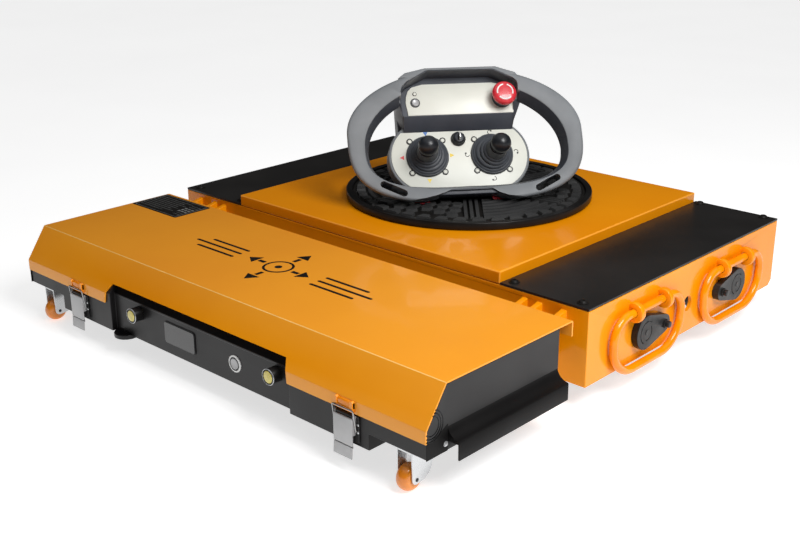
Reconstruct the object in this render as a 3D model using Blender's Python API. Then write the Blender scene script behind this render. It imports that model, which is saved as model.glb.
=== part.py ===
# Low omnidirectional machinery mover: a turntable trolley on four mecanum
# wheels, a docked battery and control box on two casters, and a two-stick
# hand control standing on the turntable.  Built for Blender 4.5.
# Lengths below are millimetres; X is the width, Y runs from the box to the
# trolley, Z is up from the floor.  Y is measured from the lid's top edge.
import math

import bmesh
import bpy
from mathutils import Matrix, Vector

MM = 0.001
GAP = 0.3                    # clearance between pieces that touch

# ---- trolley ----
HALF_W = 379.0               # half width of the trolley
TROLLEY_FRONT = 250.8
TROLLEY_REAR = 721.4
BELLY = 30.9                 # underside of the trolley
REAR_CHAMFER = 8.0
WALL_TOP = 127.7
WALL = 5.0
RAIL_IN = 240.0              # inner and outer face of the lengthwise rails
RAIL_OUT = 262.0
COVER_TOP = 131.0
DECK_HALF = 247.8
DECK_REAR = 718.0
DECK_TOP = 144.7
MID_Y = 479.5                # middle of the rings, levers and wheels
AXLE_OFFSET = 157.5          # wheel axles before and behind MID_Y
AXLE_Z = 50.0
WHEEL_X = 320.0
HUB_R = 33.0
ROLLER_RING = 41.5           # radius at which the roller axes lie
ROLLER_R = 8.5
ROLLERS = 8

# ---- turntable ----
TABLE_Y = 486.3
TABLE_R = 183.0
TABLE_LOW = 146.1
TABLE_TOP = 156.3
PAD_R = 173.0
PAD_TOP = 156.0
HUB_SHAFT_R = 34.0

# ---- lifting rings and release levers ----
RING_SPACING = 106.2         # from MID_Y to the middle of each ring
RING_Z = 102.5               # height of the ring's bar
RING_STANDOFF = 7.0
RING_TUBE_R = 5.3
LUG_OFFSET = 33.0
LUG_R = 12.8
LEVER_SHIFT = 8.0            # lever pivot from the ring's middle, away from MID_Y
LEVER_OFF = 2.4               # both levers stand this far to the rear of that
LEVER_ARM = 40.6
LEVER_DROP = 34.3
LEVER_THICK = 9.0
KNOB_DROP = 0.0

# ---- battery and control box ----
LID_HALF = 380.0
LID_TOP = 128.1
LID_SHEET = 2.0
LID_FRONT = -30.4
BEVEL_LOW = 84.0
STRIP_LOW = 69.1
LID_REAR = 218.3
LIP_LOW = 108.6
NOTCH_TOP = 96.0
TRAY_FRONT = -28.1
TRAY_REAR = 192.8
TRAY_TOP = 125.8
CORNER_LOW = 50.3
DEEP_HALF = 298.0
DEEP_LOW = 31.0
PANEL_Y = -20.4
PANEL_LEFT = -180.0
PANEL_RIGHT = 172.0
SKIRT_X = 395.7
SKIRT_TOP = 63.2
SKIRT_LOW = 43.5
LATCH_X = (-252.5, 265.5)
LATCH_PIVOT_Z = 65.3
LATCH_PIVOT_Y = -31.0
BAIL_Z = 48.0
CASTER_X = (-341.5, 345.8)
CASTER_R = 15.5               # radius of the corners of its 18-sided tread
CASTER_AXLE_Y = -18.0
SWIVEL_Y = -5.0
LAMP_X = (-125.0, 143.0)
LAMP_Z = 69.0
LENS_Y = -34.4
BUTTON_X = 68.0
BUTTON_Z = 58.0
FAN_Y = 12.0
FAN_Z = 82.0

# ---- hand control, in its own frame: U width, V up its face, W out of it ----
REMOTE_TURN = math.radians(51.3)
REMOTE_TILT = math.radians(35.0)
REMOTE_Y = 465.0
BASE_DROP = 49.9             # from the middle of its face down to the pad
LOOP_A = 171.0
LOOP_U = 4.0                 # the loop and console sit a little right of the sticks
LOOP_B = 98.5
LOOP_B_LOW = 106.0
LOOP_V = 21.6
LOOP_INNER_A = 144.0
LOOP_W = (24.0, 46.0)
STICK_U = 48.0
POD_R = 57.0
PANEL_W = 18.0
STICK_LEAN = math.radians(5.0)
STICK_PIVOT_W = -8.0
KNOB_W = 47.0
CONSOLE_HALF = 90.0
ESTOP = (68.0, 80.4)
PUSH = (-61.5, 76.5)

FRAME_Y = (-36.6 + TROLLEY_REAR) / 2


# ---------------------------------------------------------------- helpers
def clear_scene():
    for old in list(bpy.data.objects):
        bpy.data.objects.remove(old, do_unlink=True)


def material(name, colour, roughness, metallic=0.0):
    mat = bpy.data.materials.new(name)
    mat.use_nodes = True
    shader = mat.node_tree.nodes["Principled BSDF"]
    shader.inputs["Base Color"].default_value = (*colour, 1.0)
    shader.inputs["Roughness"].default_value = roughness
    shader.inputs["Metallic"].default_value = metallic
    return mat


def prism(outline, low, high, axis="Z"):
    """Extrude a closed outline between two planes along an axis."""
    bm = bmesh.new()

    def at(a, b, c):
        if axis == "X":
            return (c, a, b)
        if axis == "Y":
            return (a, c, b)
        return (a, b, c)

    floor = [bm.verts.new(at(a, b, low)) for a, b in outline]
    roof = [bm.verts.new(at(a, b, high)) for a, b in outline]
    count = len(outline)
    bm.faces.new(floor)
    bm.faces.new(roof)
    for i in range(count):
        j = (i + 1) % count
        bm.faces.new((floor[i], floor[j], roof[j], roof[i]))
    bmesh.ops.recalc_face_normals(bm, faces=bm.faces)
    return bm


def box(x0, x1, y0, y1, z0, z1):
    return prism([(x0, y0), (x1, y0), (x1, y1), (x0, y1)], z0, z1)


def turned(profile, steps, centre=(0, 0, 0), axis="Z"):
    """Spin a closed (radius, height) profile round an axis through centre."""
    bm = bmesh.new()
    on_axis = [r < 1e-6 for r, _ in profile]
    rings = []
    for (r, h), single in zip(profile, on_axis):
        if single:
            rings.append([bm.verts.new((0, 0, h))] * steps)
            continue
        ring = []
        for k in range(steps):
            turn = 2 * math.pi * (k + 0.5) / steps - math.pi / 2
            ring.append(bm.verts.new((r * math.cos(turn), r * math.sin(turn), h)))
        rings.append(ring)
    count = len(profile)
    for i in range(count):
        j = (i + 1) % count
        if on_axis[i] and on_axis[j]:
            continue
        for k in range(steps):
            m = (k + 1) % steps
            corners = []
            for v in (rings[i][k], rings[i][m], rings[j][m], rings[j][k]):
                if v not in corners:
                    corners.append(v)
            bm.faces.new(corners)
    if axis == "X":
        bm.transform(Matrix.Rotation(math.pi / 2, 4, "Y"))
    if axis == "Y":
        bm.transform(Matrix.Rotation(-math.pi / 2, 4, "X"))
    bm.transform(Matrix.Translation(Vector(centre)))
    bmesh.ops.recalc_face_normals(bm, faces=bm.faces)
    return bm


def rod(radius, low, high, centre, axis, steps=16):
    """A plain cylinder between two coordinates along an axis."""
    base = list(centre)
    base["XYZ".index(axis)] = 0
    return turned([(0, low), (radius, low), (radius, high), (0, high)], steps, base, axis)


def swept(path, radius, sides, closed):
    """A round tube through a list of points."""
    bm = bmesh.new()
    points = [Vector(p) for p in path]
    count = len(points)
    rings = []
    side = None
    for i, p in enumerate(points):
        before = points[i - 1] if closed or i else p
        after = points[(i + 1) % count] if closed or i < count - 1 else p
        ahead = (after - before).normalized()
        if side is None:
            side = ahead.orthogonal().normalized()
        side = (side - ahead * side.dot(ahead)).normalized()
        other = ahead.cross(side)
        ring = []
        for k in range(sides):
            turn = 2 * math.pi * (k + 0.5) / sides
            ring.append(bm.verts.new(p + (side * math.cos(turn) + other * math.sin(turn)) * radius))
        rings.append(ring)
    for i in range(count if closed else count - 1):
        j = (i + 1) % count
        for k in range(sides):
            m = (k + 1) % sides
            bm.faces.new((rings[i][k], rings[i][m], rings[j][m], rings[j][k]))
    if not closed:
        bm.faces.new(rings[0])
        bm.faces.new(rings[-1])
    bmesh.ops.recalc_face_normals(bm, faces=bm.faces)
    return bm


def arc(cx, cy, radius, start, end, steps):
    """Points on an arc, in degrees, both ends included."""
    points = []
    for k in range(steps + 1):
        turn = math.radians(start + (end - start) * k / steps)
        points.append((cx + radius * math.cos(turn), cy + radius * math.sin(turn)))
    return points


def joined(shapes):
    """Put several separate shapes in one bmesh."""
    whole = bmesh.new()
    for shape in shapes:
        mesh = bpy.data.meshes.new("piece")
        shape.to_mesh(mesh)
        whole.from_mesh(mesh)
        bpy.data.meshes.remove(mesh)
        shape.free()
    return whole


def node(name, shape, mat, pivot=(0, 0, 0), parent=None, hidden=False):
    """Make an object whose origin is at pivot, from a shape in millimetres."""
    pivot = Vector(pivot)
    shape.transform(Matrix.Translation(-pivot))
    shape.transform(Matrix.Scale(MM, 4))
    mesh = bpy.data.meshes.new(name)
    shape.to_mesh(mesh)
    shape.free()
    item = bpy.data.objects.new(name, mesh)
    bpy.context.scene.collection.objects.link(item)
    if parent is None:
        item.location = (pivot - Vector((0, FRAME_Y, 0))) * MM
    else:
        item.parent = parent
        item.location = pivot * MM
    item.hide_render = hidden
    if hidden:
        item.display_type = "WIRE"
        item.hide_set(True)
        return item
    mesh.materials.append(mat)
    mesh.shade_smooth()
    mesh.set_sharp_from_angle(angle=math.radians(35))
    return item


def boolean(item, shapes, operation):
    """Add or take away shapes that don't meet each other."""
    number = len(item.modifiers)
    tool = node(f"{item.name}_tool_{number}", joined(shapes), None, parent=item.parent, hidden=True)
    modifier = item.modifiers.new(f"{operation.lower()}_{number}", "BOOLEAN")
    modifier.operation = operation
    modifier.solver = "EXACT"
    modifier.object = tool


def add(item, *shapes):
    boolean(item, shapes, "UNION")


def cut(item, *shapes):
    boolean(item, shapes, "DIFFERENCE")


def bevelled(item, width, segments=1, angle=40):
    modifier = item.modifiers.new("edge", "BEVEL")
    modifier.width = width * MM
    modifier.segments = segments
    modifier.limit_method = "ANGLE"
    modifier.angle_limit = math.radians(angle)


def materials():
    return {
        "orange": material("orange_powder_coat", (0.93, 0.36, 0.01), 0.34),
        "dark": material("graphite_powder_coat", (0.045, 0.043, 0.044), 0.5),
        "black": material("black_coated_steel", (0.02, 0.02, 0.021), 0.42, 0.2),
        "rubber": material("black_rubber", (0.016, 0.016, 0.016), 0.75),
        "moulded": material("moulded_lever", (0.018, 0.018, 0.018), 0.5),
        "roller": material("roller_urethane", (0.03, 0.03, 0.03), 0.5),
        "zinc": material("zinc_plated_steel", (0.62, 0.63, 0.63), 0.28, 1.0),
        "steel": material("brushed_steel", (0.52, 0.52, 0.51), 0.32, 1.0),
        "urethane": material("orange_polyurethane", (0.78, 0.2, 0.02), 0.38),
        "motor": material("cast_aluminium", (0.35, 0.35, 0.36), 0.5, 0.9),
        "battery": material("battery_case", (0.05, 0.07, 0.1), 0.5),
        "lens": material("yellow_lens", (0.75, 0.62, 0.12), 0.3),
        "screen": material("display_glass", (0.05, 0.05, 0.055), 0.18),
        "grey": material("grey_plastic", (0.2, 0.21, 0.225), 0.55),
        "slate": material("slate_plastic", (0.045, 0.05, 0.065), 0.5),
        "ivory": material("ivory_faceplate", (0.68, 0.68, 0.6), 0.45),
        "red": material("red_plastic", (0.62, 0.03, 0.045), 0.35),
        "bellows": material("grey_rubber", (0.04, 0.045, 0.055), 0.6),
    }


# ---------------------------------------------------------------- trolley
def axles():
    return (MID_Y - AXLE_OFFSET, MID_Y + AXLE_OFFSET)


def rings():
    """(name, side of the trolley, middle of the ring, direction away from MID_Y)."""
    found = []
    for side, side_name in ((1, "right"), (-1, "left")):
        for away, end_name in ((-1, "front"), (1, "rear")):
            found.append((f"{side_name}_{end_name}", side, MID_Y + away * RING_SPACING, away))
    return found


def lug(side, y):
    x = side * (HALF_W + RING_STANDOFF)
    hole = RING_TUBE_R + 0.8
    low, high = y - 4, y + 4
    return turned([(hole, low), (LUG_R, low), (LUG_R, high), (hole, high)], 16, (x, 0, RING_Z), "Y")


def chassis(mats):
    side = [
        (TROLLEY_FRONT, BELLY),
        (TROLLEY_REAR - REAR_CHAMFER, BELLY),
        (TROLLEY_REAR, BELLY + REAR_CHAMFER),
        (TROLLEY_REAR, WALL_TOP),
        (TROLLEY_FRONT, WALL_TOP),
    ]
    body = node("chassis", prism(side, -HALF_W, HALF_W, "X"), mats["orange"])
    y0, y1 = TROLLEY_FRONT + WALL, TROLLEY_REAR - WALL
    bays = [box(-RAIL_IN, RAIL_IN, y0, y1, BELLY + WALL, WALL_TOP + 10)]
    for s in (-1, 1):
        x = sorted((s * RAIL_OUT, s * (HALF_W - WALL)))
        bays.append(box(x[0], x[1], y0, y1, BELLY - 10, WALL_TOP + 10))
    cut(body, *bays)
    holes = []
    for s in (-1, 1):
        for y in axles():
            ends = sorted((s * (RAIL_IN - 2), s * (RAIL_OUT + 2)))
            holes.append(rod(9, ends[0], ends[1], (0, y, AXLE_Z), "X", 16))
        ends = sorted((s * (HALF_W - WALL - 2), s * (HALF_W + 2)))
        holes.append(rod(10.5, ends[0], ends[1], (0, MID_Y, 71.6), "X", 20))
    for _, s, y, away in rings():
        if s < 0:
            continue
        pivot = lever_pivot(y, away)
        knob = knob_centre(y, away)
        holes.append(rod(6.5, HALF_W - WALL - 2, HALF_W + 2, (0, pivot[0], pivot[1]), "X", 16))
        holes.append(rod(2.8, HALF_W - WALL - 2, HALF_W + 2, (0, knob[0], knob[1]), "X", 12))
    cut(body, *holes)
    lugs = []
    for _, s, y, _ in rings():
        lugs.append(lug(s, y - LUG_OFFSET))
        lugs.append(lug(s, y + LUG_OFFSET))
    add(body, *lugs)
    hooks = []
    for s in (-1, 1):
        x = sorted((s * 275, s * 335))
        shape = [
            (198, 60),
            (TROLLEY_FRONT + 2, 60),
            (TROLLEY_FRONT + 2, 66),
            (204, 66),
            (204, 96.6),
            (198, 96.6),
        ]
        hooks.append(prism(shape, x[0], x[1], "X"))
        for tab in (287, 309, 344):
            near = sorted((s * tab - 4, s * tab + 4))
            tab_side = [(TROLLEY_FRONT - 16, 104), (TROLLEY_FRONT + 2, 98), (TROLLEY_FRONT + 2, 122)]
            tab_side.append((TROLLEY_FRONT - 16, 118))
            hooks.append(prism(tab_side, near[0], near[1], "X"))
    add(body, *hooks)


def deck(mats):
    plate = node(
        "deck_plate",
        box(-DECK_HALF, DECK_HALF, TROLLEY_FRONT, DECK_REAR, WALL_TOP + GAP, DECK_TOP),
        mats["orange"],
    )
    bevelled(plate, 1.2)
    cut(plate, rod(60, WALL_TOP - 5, DECK_TOP + 5, (0, TABLE_Y, 0), "Z", 40))


def side_covers(mats):
    for name, s in (("side_cover_left", -1), ("side_cover_right", 1)):
        x = sorted((s * (DECK_HALF + 0.5), s * HALF_W))
        cover = box(x[0], x[1], TROLLEY_FRONT, TROLLEY_REAR, WALL_TOP + GAP, COVER_TOP)
        node(name, cover, mats["black"])


def turntable(mats):
    centre = (0, TABLE_Y, 0)
    dish = [
        (0, 120),
        (HUB_SHAFT_R, 120),
        (HUB_SHAFT_R, TABLE_LOW),
        (TABLE_R, TABLE_LOW),
        (TABLE_R, TABLE_TOP - 1.2),
        (TABLE_R - 1.2, TABLE_TOP),
        (PAD_R + 0.5, TABLE_TOP),
        (PAD_R + 0.5, 150),
        (0, 150),
    ]
    node("turntable_plate", turned(dish, 48, centre), mats["black"], centre)
    low = 150 + GAP
    pad = [(0, low), (PAD_R, low), (PAD_R, PAD_TOP - 1), (PAD_R - 1, PAD_TOP), (0, PAD_TOP)]
    node("rubber_pad", turned(pad, 48, centre), mats["rubber"], centre)
    inner, outer = HUB_SHAFT_R + 0.5, 59.5
    race = [(inner, 130), (outer, 130), (outer, TABLE_LOW - 0.7), (inner, TABLE_LOW - 0.7)]
    node("turntable_bearing", turned(race, 24, centre), mats["steel"], centre)


def ring_path(side, middle):
    """The lifting ring's centre line: a straight bar, round shoulders, a flat foot."""
    half = arc(50, -29, 29, 90, 0, 5) + arc(35, -29, 45, -18, -90, 5)
    other = [(-a, b) for a, b in reversed(half)]
    x = side * (HALF_W + RING_STANDOFF)
    return [(x, middle + a, RING_Z + b) for a, b in half + other]


def lifting_rings(mats):
    for name, side, middle, _ in rings():
        path = ring_path(side, middle)
        pivot = (side * (HALF_W + RING_STANDOFF), middle, RING_Z)
        node(f"d_ring_{name}", swept(path, RING_TUBE_R, 8, True), mats["orange"], pivot)


def lever_pivot(middle, away):
    return middle + away * LEVER_SHIFT + LEVER_OFF, RING_Z - LEVER_DROP


def knob_centre(middle, away):
    return middle + away * (LEVER_SHIFT - LEVER_ARM) + LEVER_OFF, RING_Z - LEVER_DROP - KNOB_DROP


def release_levers(mats):
    for name, side, middle, away in rings():
        if side < 0:
            continue
        end = name.split("_")[1]
        py, pz = lever_pivot(middle, away)
        ky, kz = knob_centre(middle, away)
        lean = math.degrees(math.atan2(kz - pz, ky - py))
        spread = 14.8
        outline = arc(py, pz, 22.5, lean + 90 - spread, lean + 270 + spread, 14)
        outline += arc(ky, kz, 12, lean - 90 + spread, lean + 90 - spread, 8)
        x0 = HALF_W + GAP
        x1 = x0 + LEVER_THICK
        lever = node(f"release_lever_{end}", prism(outline, x0, x1, "X"), mats["moulded"], (x0, py, pz))
        add(lever, rod(6, HALF_W - 14, x0 + 1, (0, py, pz), "X", 16))
        cut(lever, rod(3.6, x0 - 2, x1 + 2, (0, ky, kz), "X", 12))
        knob_profile = [
            (0, HALF_W + 0.6),
            (2.4, HALF_W + 0.6),
            (2.4, x1 - 1),
            (3.2, x1 - 1),
            (3.2, x1 + 0.5),
            (6.2, x1 + 0.5),
            (6.2, x1 + 3),
            (4.4, x1 + 3.6),
            (4.4, x1 + 8.2),
            (0, x1 + 8.2),
        ]
        knob = turned(knob_profile, 12, (0, ky, kz), "X")
        node(f"index_knob_{end}", knob, mats["moulded"], (x0, ky, kz))


def wheel_name(side, y):
    across = "right" if side > 0 else "left"
    along = "front" if y < MID_Y else "rear"
    return f"{across}_{along}"


def roller(turn, slant):
    """One barrel roller, its axis skewed 45 degrees across the rim."""
    profile = [(0, -24), (5.2, -24), (ROLLER_R, 0), (5.2, 24), (0, 24)]
    shape = turned(profile, 6)
    lay_down = Matrix.Rotation(math.pi / 2, 4, "Y") @ Matrix.Rotation(math.pi / 6, 4, "Z")
    shape.transform(Matrix.Rotation(math.radians(-45 * slant), 4, "Y") @ lay_down)
    shape.transform(Matrix.Rotation(math.pi / 2, 4, "X"))
    shape.transform(Matrix.Translation((0, 0, -ROLLER_RING)))
    shape.transform(Matrix.Rotation(turn, 4, "X"))
    return shape


def roller_cage(slant):
    shapes = []
    for k in range(ROLLERS):
        shapes.append(roller(2 * math.pi * k / ROLLERS, slant))
    return shapes


def wheels(mats):
    for side in (1, -1):
        for y in axles():
            name = wheel_name(side, y)
            centre = (side * WHEEL_X, y, AXLE_Z)
            x = WHEEL_X
            profile = [
                (0, 214),
                (8, 214),
                (8, x - 23),
                (HUB_R, x - 23),
                (HUB_R, x - 20),
                (14, x - 20),
                (14, x + 20),
                (HUB_R, x + 20),
                (HUB_R, x + 23),
                (0, x + 23),
            ]
            profile = [(r, side * h) for r, h in profile]
            node(f"wheel_hub_{name}", turned(profile, 16, (0, y, AXLE_Z), "X"), mats["steel"], centre)
            inner, outer = HUB_R + 0.5, 47.5
            shells = []
            for s in (-1, 1):
                ends = sorted((x * side + s * 16, x * side + s * 23))
                rim = [(inner, ends[0]), (outer, ends[0]), (outer, ends[1]), (inner, ends[1])]
                shells.append(turned(rim, 16, (0, y, AXLE_Z), "X"))
            cage = node(f"roller_cage_{name}", joined(shells), mats["roller"], centre)
            slant = 1 if name in ("right_front", "left_rear") else -1
            rollers = roller_cage(slant)
            for shape in rollers:
                shape.transform(Matrix.Translation(Vector(centre)))
            add(cage, *rollers)


def motors(mats):
    for side in (1, -1):
        for y in axles():
            name = wheel_name(side, y)
            x = sorted((side * 205, side * (RAIL_IN - 0.4)))
            gearbox = box(x[0], x[1], y - 28, y + 28, BELLY + WALL + 0.6, 100)
            motor = node(f"drive_motor_{name}", gearbox, mats["motor"], (side * 205, y, 68))
            ends = sorted((side * 100, side * 207))
            add(motor, rod(26, ends[0], ends[1], (0, y, 68), "X", 20))
            ends = sorted((side * 212, side * (RAIL_IN + 2)))
            cut(motor, rod(8.6, ends[0], ends[1], (0, y, AXLE_Z), "X", 16))


# ---------------------------------------------------------------- box
def tray(mats):
    side = [
        (TRAY_FRONT, CORNER_LOW),
        (TRAY_FRONT, 83.28),
        (1.21, TRAY_TOP),
        (TRAY_REAR, TRAY_TOP),
        (TRAY_REAR, CORNER_LOW),
    ]
    body = node("box_tray", prism(side, -LID_HALF, LID_HALF, "X"), mats["dark"])
    add(body, box(-DEEP_HALF, DEEP_HALF, TRAY_FRONT, TRAY_REAR - 8, DEEP_LOW, CORNER_LOW + 1))
    skirts = []
    for s in (-1, 1):
        bend = arc(LID_HALF + 11, SKIRT_TOP + 11, 11, 180, 270, 5)
        outline = [(LID_HALF - 2, SKIRT_TOP + 11)] + bend
        outline += [
            (SKIRT_X, SKIRT_TOP),
            (SKIRT_X, SKIRT_LOW),
            (SKIRT_X - 2, SKIRT_LOW),
            (SKIRT_X - 2, SKIRT_TOP - 2),
            (LID_HALF - 2, SKIRT_TOP - 2),
        ]
        skirts.append(prism([(s * a, b) for a, b in outline], 3.3, TRAY_REAR - 0.7, "Y"))
    add(body, *skirts)
    tongues = [latch_base(x) for x in LATCH_X]
    for s in (-1, 1):
        x = sorted((s * 280, s * 330))
        tongue = [
            (TRAY_REAR - 1, 97),
            (TRAY_REAR - 1, 103),
            (214, 103),
            (214, 70),
            (208, 70),
            (208, 97),
        ]
        tongues.append(prism(tongue, x[0], x[1], "X"))
    add(body, *tongues)
    hollow = [(-17.9, 52.8), (-17.9, 82.07), (15.0, 129.8), (TRAY_REAR - 2.5, 129.8)]
    hollow.append((TRAY_REAR - 2.5, 52.8))
    cut(body, prism(hollow, -LID_HALF + 2.5, LID_HALF - 2.5, "X"))
    cut(body, box(-DEEP_HALF + 2.5, DEEP_HALF - 2.5, -17.9, TRAY_REAR - 10.5, DEEP_LOW + 2.5, 54))
    recess = [(-50, 20), (PANEL_Y, 20), (PANEL_Y, 82.5), (-4, 106.3), (-12, 112), (-50, 112)]
    cut(body, prism(recess, PANEL_LEFT, PANEL_RIGHT, "X"))
    add(body, rod(17, DEEP_LOW - 4.5, DEEP_LOW + 1.5, (-163, -17.5, 0), "Z", 16))
    holes = [rod(7.5, PANEL_Y - 2, -16, (BUTTON_X, 0, BUTTON_Z), "Y", 16)]
    for x in LAMP_X:
        holes.append(rod(8.6, PANEL_Y - 2, -16, (x, 0, LAMP_Z), "Y", 16))
    for x in LATCH_X:
        holes.append(rod(1.7, x - 14, x + 14, (0, LATCH_PIVOT_Y, LATCH_PIVOT_Z), "X", 10))
    cut(body, *holes)


def latch_base(x):
    outline = [
        (TRAY_FRONT + 1, 36),
        (TRAY_FRONT + 1, 67.8),
        (LATCH_PIVOT_Y, 67.8),
        (LATCH_PIVOT_Y - 2.2, 66.6),
        (LATCH_PIVOT_Y - 2.2, 36),
    ]
    return prism(outline, x - 12.5, x + 12.5, "X")


def lid(mats):
    t = LID_SHEET
    sheet = [
        (LID_FRONT, STRIP_LOW),
        (LID_FRONT, BEVEL_LOW),
        (0, LID_TOP),
        (LID_REAR, LID_TOP),
        (LID_REAR, LIP_LOW),
        (LID_REAR - t, LIP_LOW),
        (LID_REAR - t, LID_TOP - t),
        (1.05, LID_TOP - t),
        (LID_FRONT + t, 83.38),
        (LID_FRONT + t, STRIP_LOW),
    ]
    cover = node("box_lid", prism(sheet, -LID_HALF, LID_HALF, "X"), mats["orange"])
    notch = [
        (-192, 60),
        (-187.4, BEVEL_LOW),
        (-180, NOTCH_TOP),
        (163, NOTCH_TOP),
        (170, BEVEL_LOW),
        (172, 60),
    ]
    cut(cover, prism(notch, -60, -10, "Y"))
    catches = []
    for x in LATCH_X:
        catch = [(LID_FRONT + 1, 70.8), (LID_FRONT + 1, 83), (LID_FRONT - 1.6, 83)]
        catch += [(LID_FRONT - 2.9, 81.5), (LID_FRONT - 2.9, 70.8)]
        catches.append(prism(catch, x - 14, x + 14, "X"))
    add(cover, *catches)


def latches(mats):
    for name, x in zip(("left", "right"), LATCH_X):
        pivot = (x, LATCH_PIVOT_Y, LATCH_PIVOT_Z)
        plate = [
            (-34.0, 64.5),
            (-35.4, 64.5),
            (-35.4, 40),
            (-36.6, 16.5),
            (-35.2, 16.5),
            (-34.0, 40),
        ]
        lever = node(f"latch_lever_{name}", prism(plate, x - 14.5, x + 14.5, "X"), mats["steel"], pivot)
        flange = [(-34.4, 44), (-34.4, 64), (-33, 67.1), (-30, 67.1), (-29, 64.5), (-29, 44)]
        flanges = []
        pins = []
        for t in (-1, 1):
            ends = sorted((x + t * 13, x + t * 14.5))
            flanges.append(prism(flange, ends[0], ends[1], "X"))
            ends = sorted((x + t * 9, x + t * 13.6))
            pins.append(rod(1.2, ends[0], ends[1], (0, LATCH_PIVOT_Y, LATCH_PIVOT_Z), "X", 10))
        add(lever, *flanges)
        add(lever, *pins)
        cut(lever, rod(1.6, x - 16, x + 16, (0, LATCH_PIVOT_Y, BAIL_Z), "X", 10))
        leg = 15.9
        route = [
            (x - 12.9, LATCH_PIVOT_Y, BAIL_Z),
            (x - leg + 1, LATCH_PIVOT_Y, BAIL_Z),
            (x - leg, LATCH_PIVOT_Y, BAIL_Z + 1),
            (x - leg, -34.8, 73),
            (x - leg + 1, -34.9, 74),
            (x + leg - 1, -34.9, 74),
            (x + leg, -34.8, 73),
            (x + leg, LATCH_PIVOT_Y, BAIL_Z + 1),
            (x + leg - 1, LATCH_PIVOT_Y, BAIL_Z),
            (x + 12.9, LATCH_PIVOT_Y, BAIL_Z),
        ]
        bail_pivot = (x, LATCH_PIVOT_Y, BAIL_Z)
        node(f"latch_bail_{name}", swept(route, 1.1, 6, False), mats["zinc"], bail_pivot)


def casters(mats):
    for name, x in zip(("left", "right"), CASTER_X):
        top = CORNER_LOW - GAP
        crown = box(x - 11.5, x + 11.5, -25, 9, top - 4, top)
        fork = node(f"caster_fork_{name}", crown, mats["zinc"], (x, SWIVEL_Y, top))
        cheek = [(-25, top - 1), (9, top - 1), (5.5, 24), (-2.5, 13), (-10, 11), (-18.5, 10), (-23, 12), (-25, 16)]
        cheeks = []
        for t in (-1, 1):
            ends = sorted((x + t * 9.5, x + t * 11.5))
            cheeks.append(prism(cheek, ends[0], ends[1], "X"))
        add(fork, *cheeks)
        cut(fork, rod(2.2, x - 14, x + 14, (0, CASTER_AXLE_Y, CASTER_R), "X", 12))
        profile = [
            (0, x - 11.2),
            (1.8, x - 11.2),
            (1.8, x - 8.8),
            (10.5, x - 8.8),
            (13.8, x - 6.4),
            (CASTER_R, x - 2.2),
            (CASTER_R, x + 2.2),
            (13.8, x + 6.4),
            (10.5, x + 8.8),
            (1.8, x + 8.8),
            (1.8, x + 11.2),
            (0, x + 11.2),
        ]
        centre = (x, CASTER_AXLE_Y, CASTER_R)
        wheel = turned(profile, 18, (0, CASTER_AXLE_Y, CASTER_R), "X")
        node(f"caster_wheel_{name}", wheel, mats["urethane"], centre)


def front_panel(mats):
    for name, x in zip(("left", "right"), LAMP_X):
        bezel = [(8.4, PANEL_Y - GAP), (8.4, LENS_Y + 0.6), (9.5, LENS_Y + 0.6), (10, LENS_Y + 1.4)]
        bezel.append((10, PANEL_Y - GAP))
        node(f"lamp_bezel_{name}", turned(bezel, 20, (x, 0, LAMP_Z), "Y"), mats["zinc"], (x, PANEL_Y, LAMP_Z))
        lens = [(0, LENS_Y), (7.4, LENS_Y), (8.0, LENS_Y + 0.8), (8.0, -14), (0, -14)]
        node(f"lamp_button_{name}", turned(lens, 20, (x, 0, LAMP_Z), "Y"), mats["lens"], (x, LENS_Y, LAMP_Z))
    cap = [(0, PANEL_Y - 2), (6.4, PANEL_Y - 2), (7, PANEL_Y - 1.4), (7, -14), (0, -14)]
    centre = (BUTTON_X, PANEL_Y, BUTTON_Z)
    node("power_button", turned(cap, 20, (BUTTON_X, 0, BUTTON_Z), "Y"), mats["zinc"], centre)
    x0, x1, z0, z1, r = -71.0, -8.0, 45.0, 75.0, 4.0
    outline = arc(x1 - r, z1 - r, r, 0, 90, 3) + arc(x0 + r, z1 - r, r, 90, 180, 3)
    outline += arc(x0 + r, z0 + r, r, 180, 270, 3) + arc(x1 - r, z0 + r, r, 270, 360, 3)
    screen = prism(outline, PANEL_Y - 2.2, PANEL_Y - GAP, "Y")
    node("display", screen, mats["screen"], ((x0 + x1) / 2, PANEL_Y, (z0 + z1) / 2))


def inside_box(mats):
    pack = node("battery_pack", box(-200, 200, 24, 168, DEEP_LOW + 3, 104), mats["battery"], (0, 96, 70))
    bevelled(pack, 4)
    wall = LID_HALF - 2.5 - GAP
    frame = [(15.6, wall - 12), (17.6, wall - 12), (17.6, wall), (15.6, wall)]
    centre = (wall - 6, FAN_Y, FAN_Z)
    spokes = box(wall - 2.6, wall, FAN_Y - 16.4, FAN_Y + 16.4, FAN_Z - 2, FAN_Z + 2)
    fan = node("fan_frame", turned(frame, 20, (0, FAN_Y, FAN_Z), "X"), mats["dark"], centre)
    add(fan, spokes)
    hub = rod(5.5, wall - 11, wall - 4, (0, FAN_Y, FAN_Z), "X", 12)
    rotor = node("fan_rotor", hub, mats["moulded"], centre)
    blades = []
    for k in range(5):
        blade = box(wall - 10, wall - 5, -1, 1, 4.5, 14.2)
        blade.transform(Matrix.Rotation(2 * math.pi * k / 5, 4, "X"))
        blade.transform(Matrix.Translation((0, FAN_Y, FAN_Z)))
        blades.append(blade)
    add(rotor, *blades)


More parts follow.
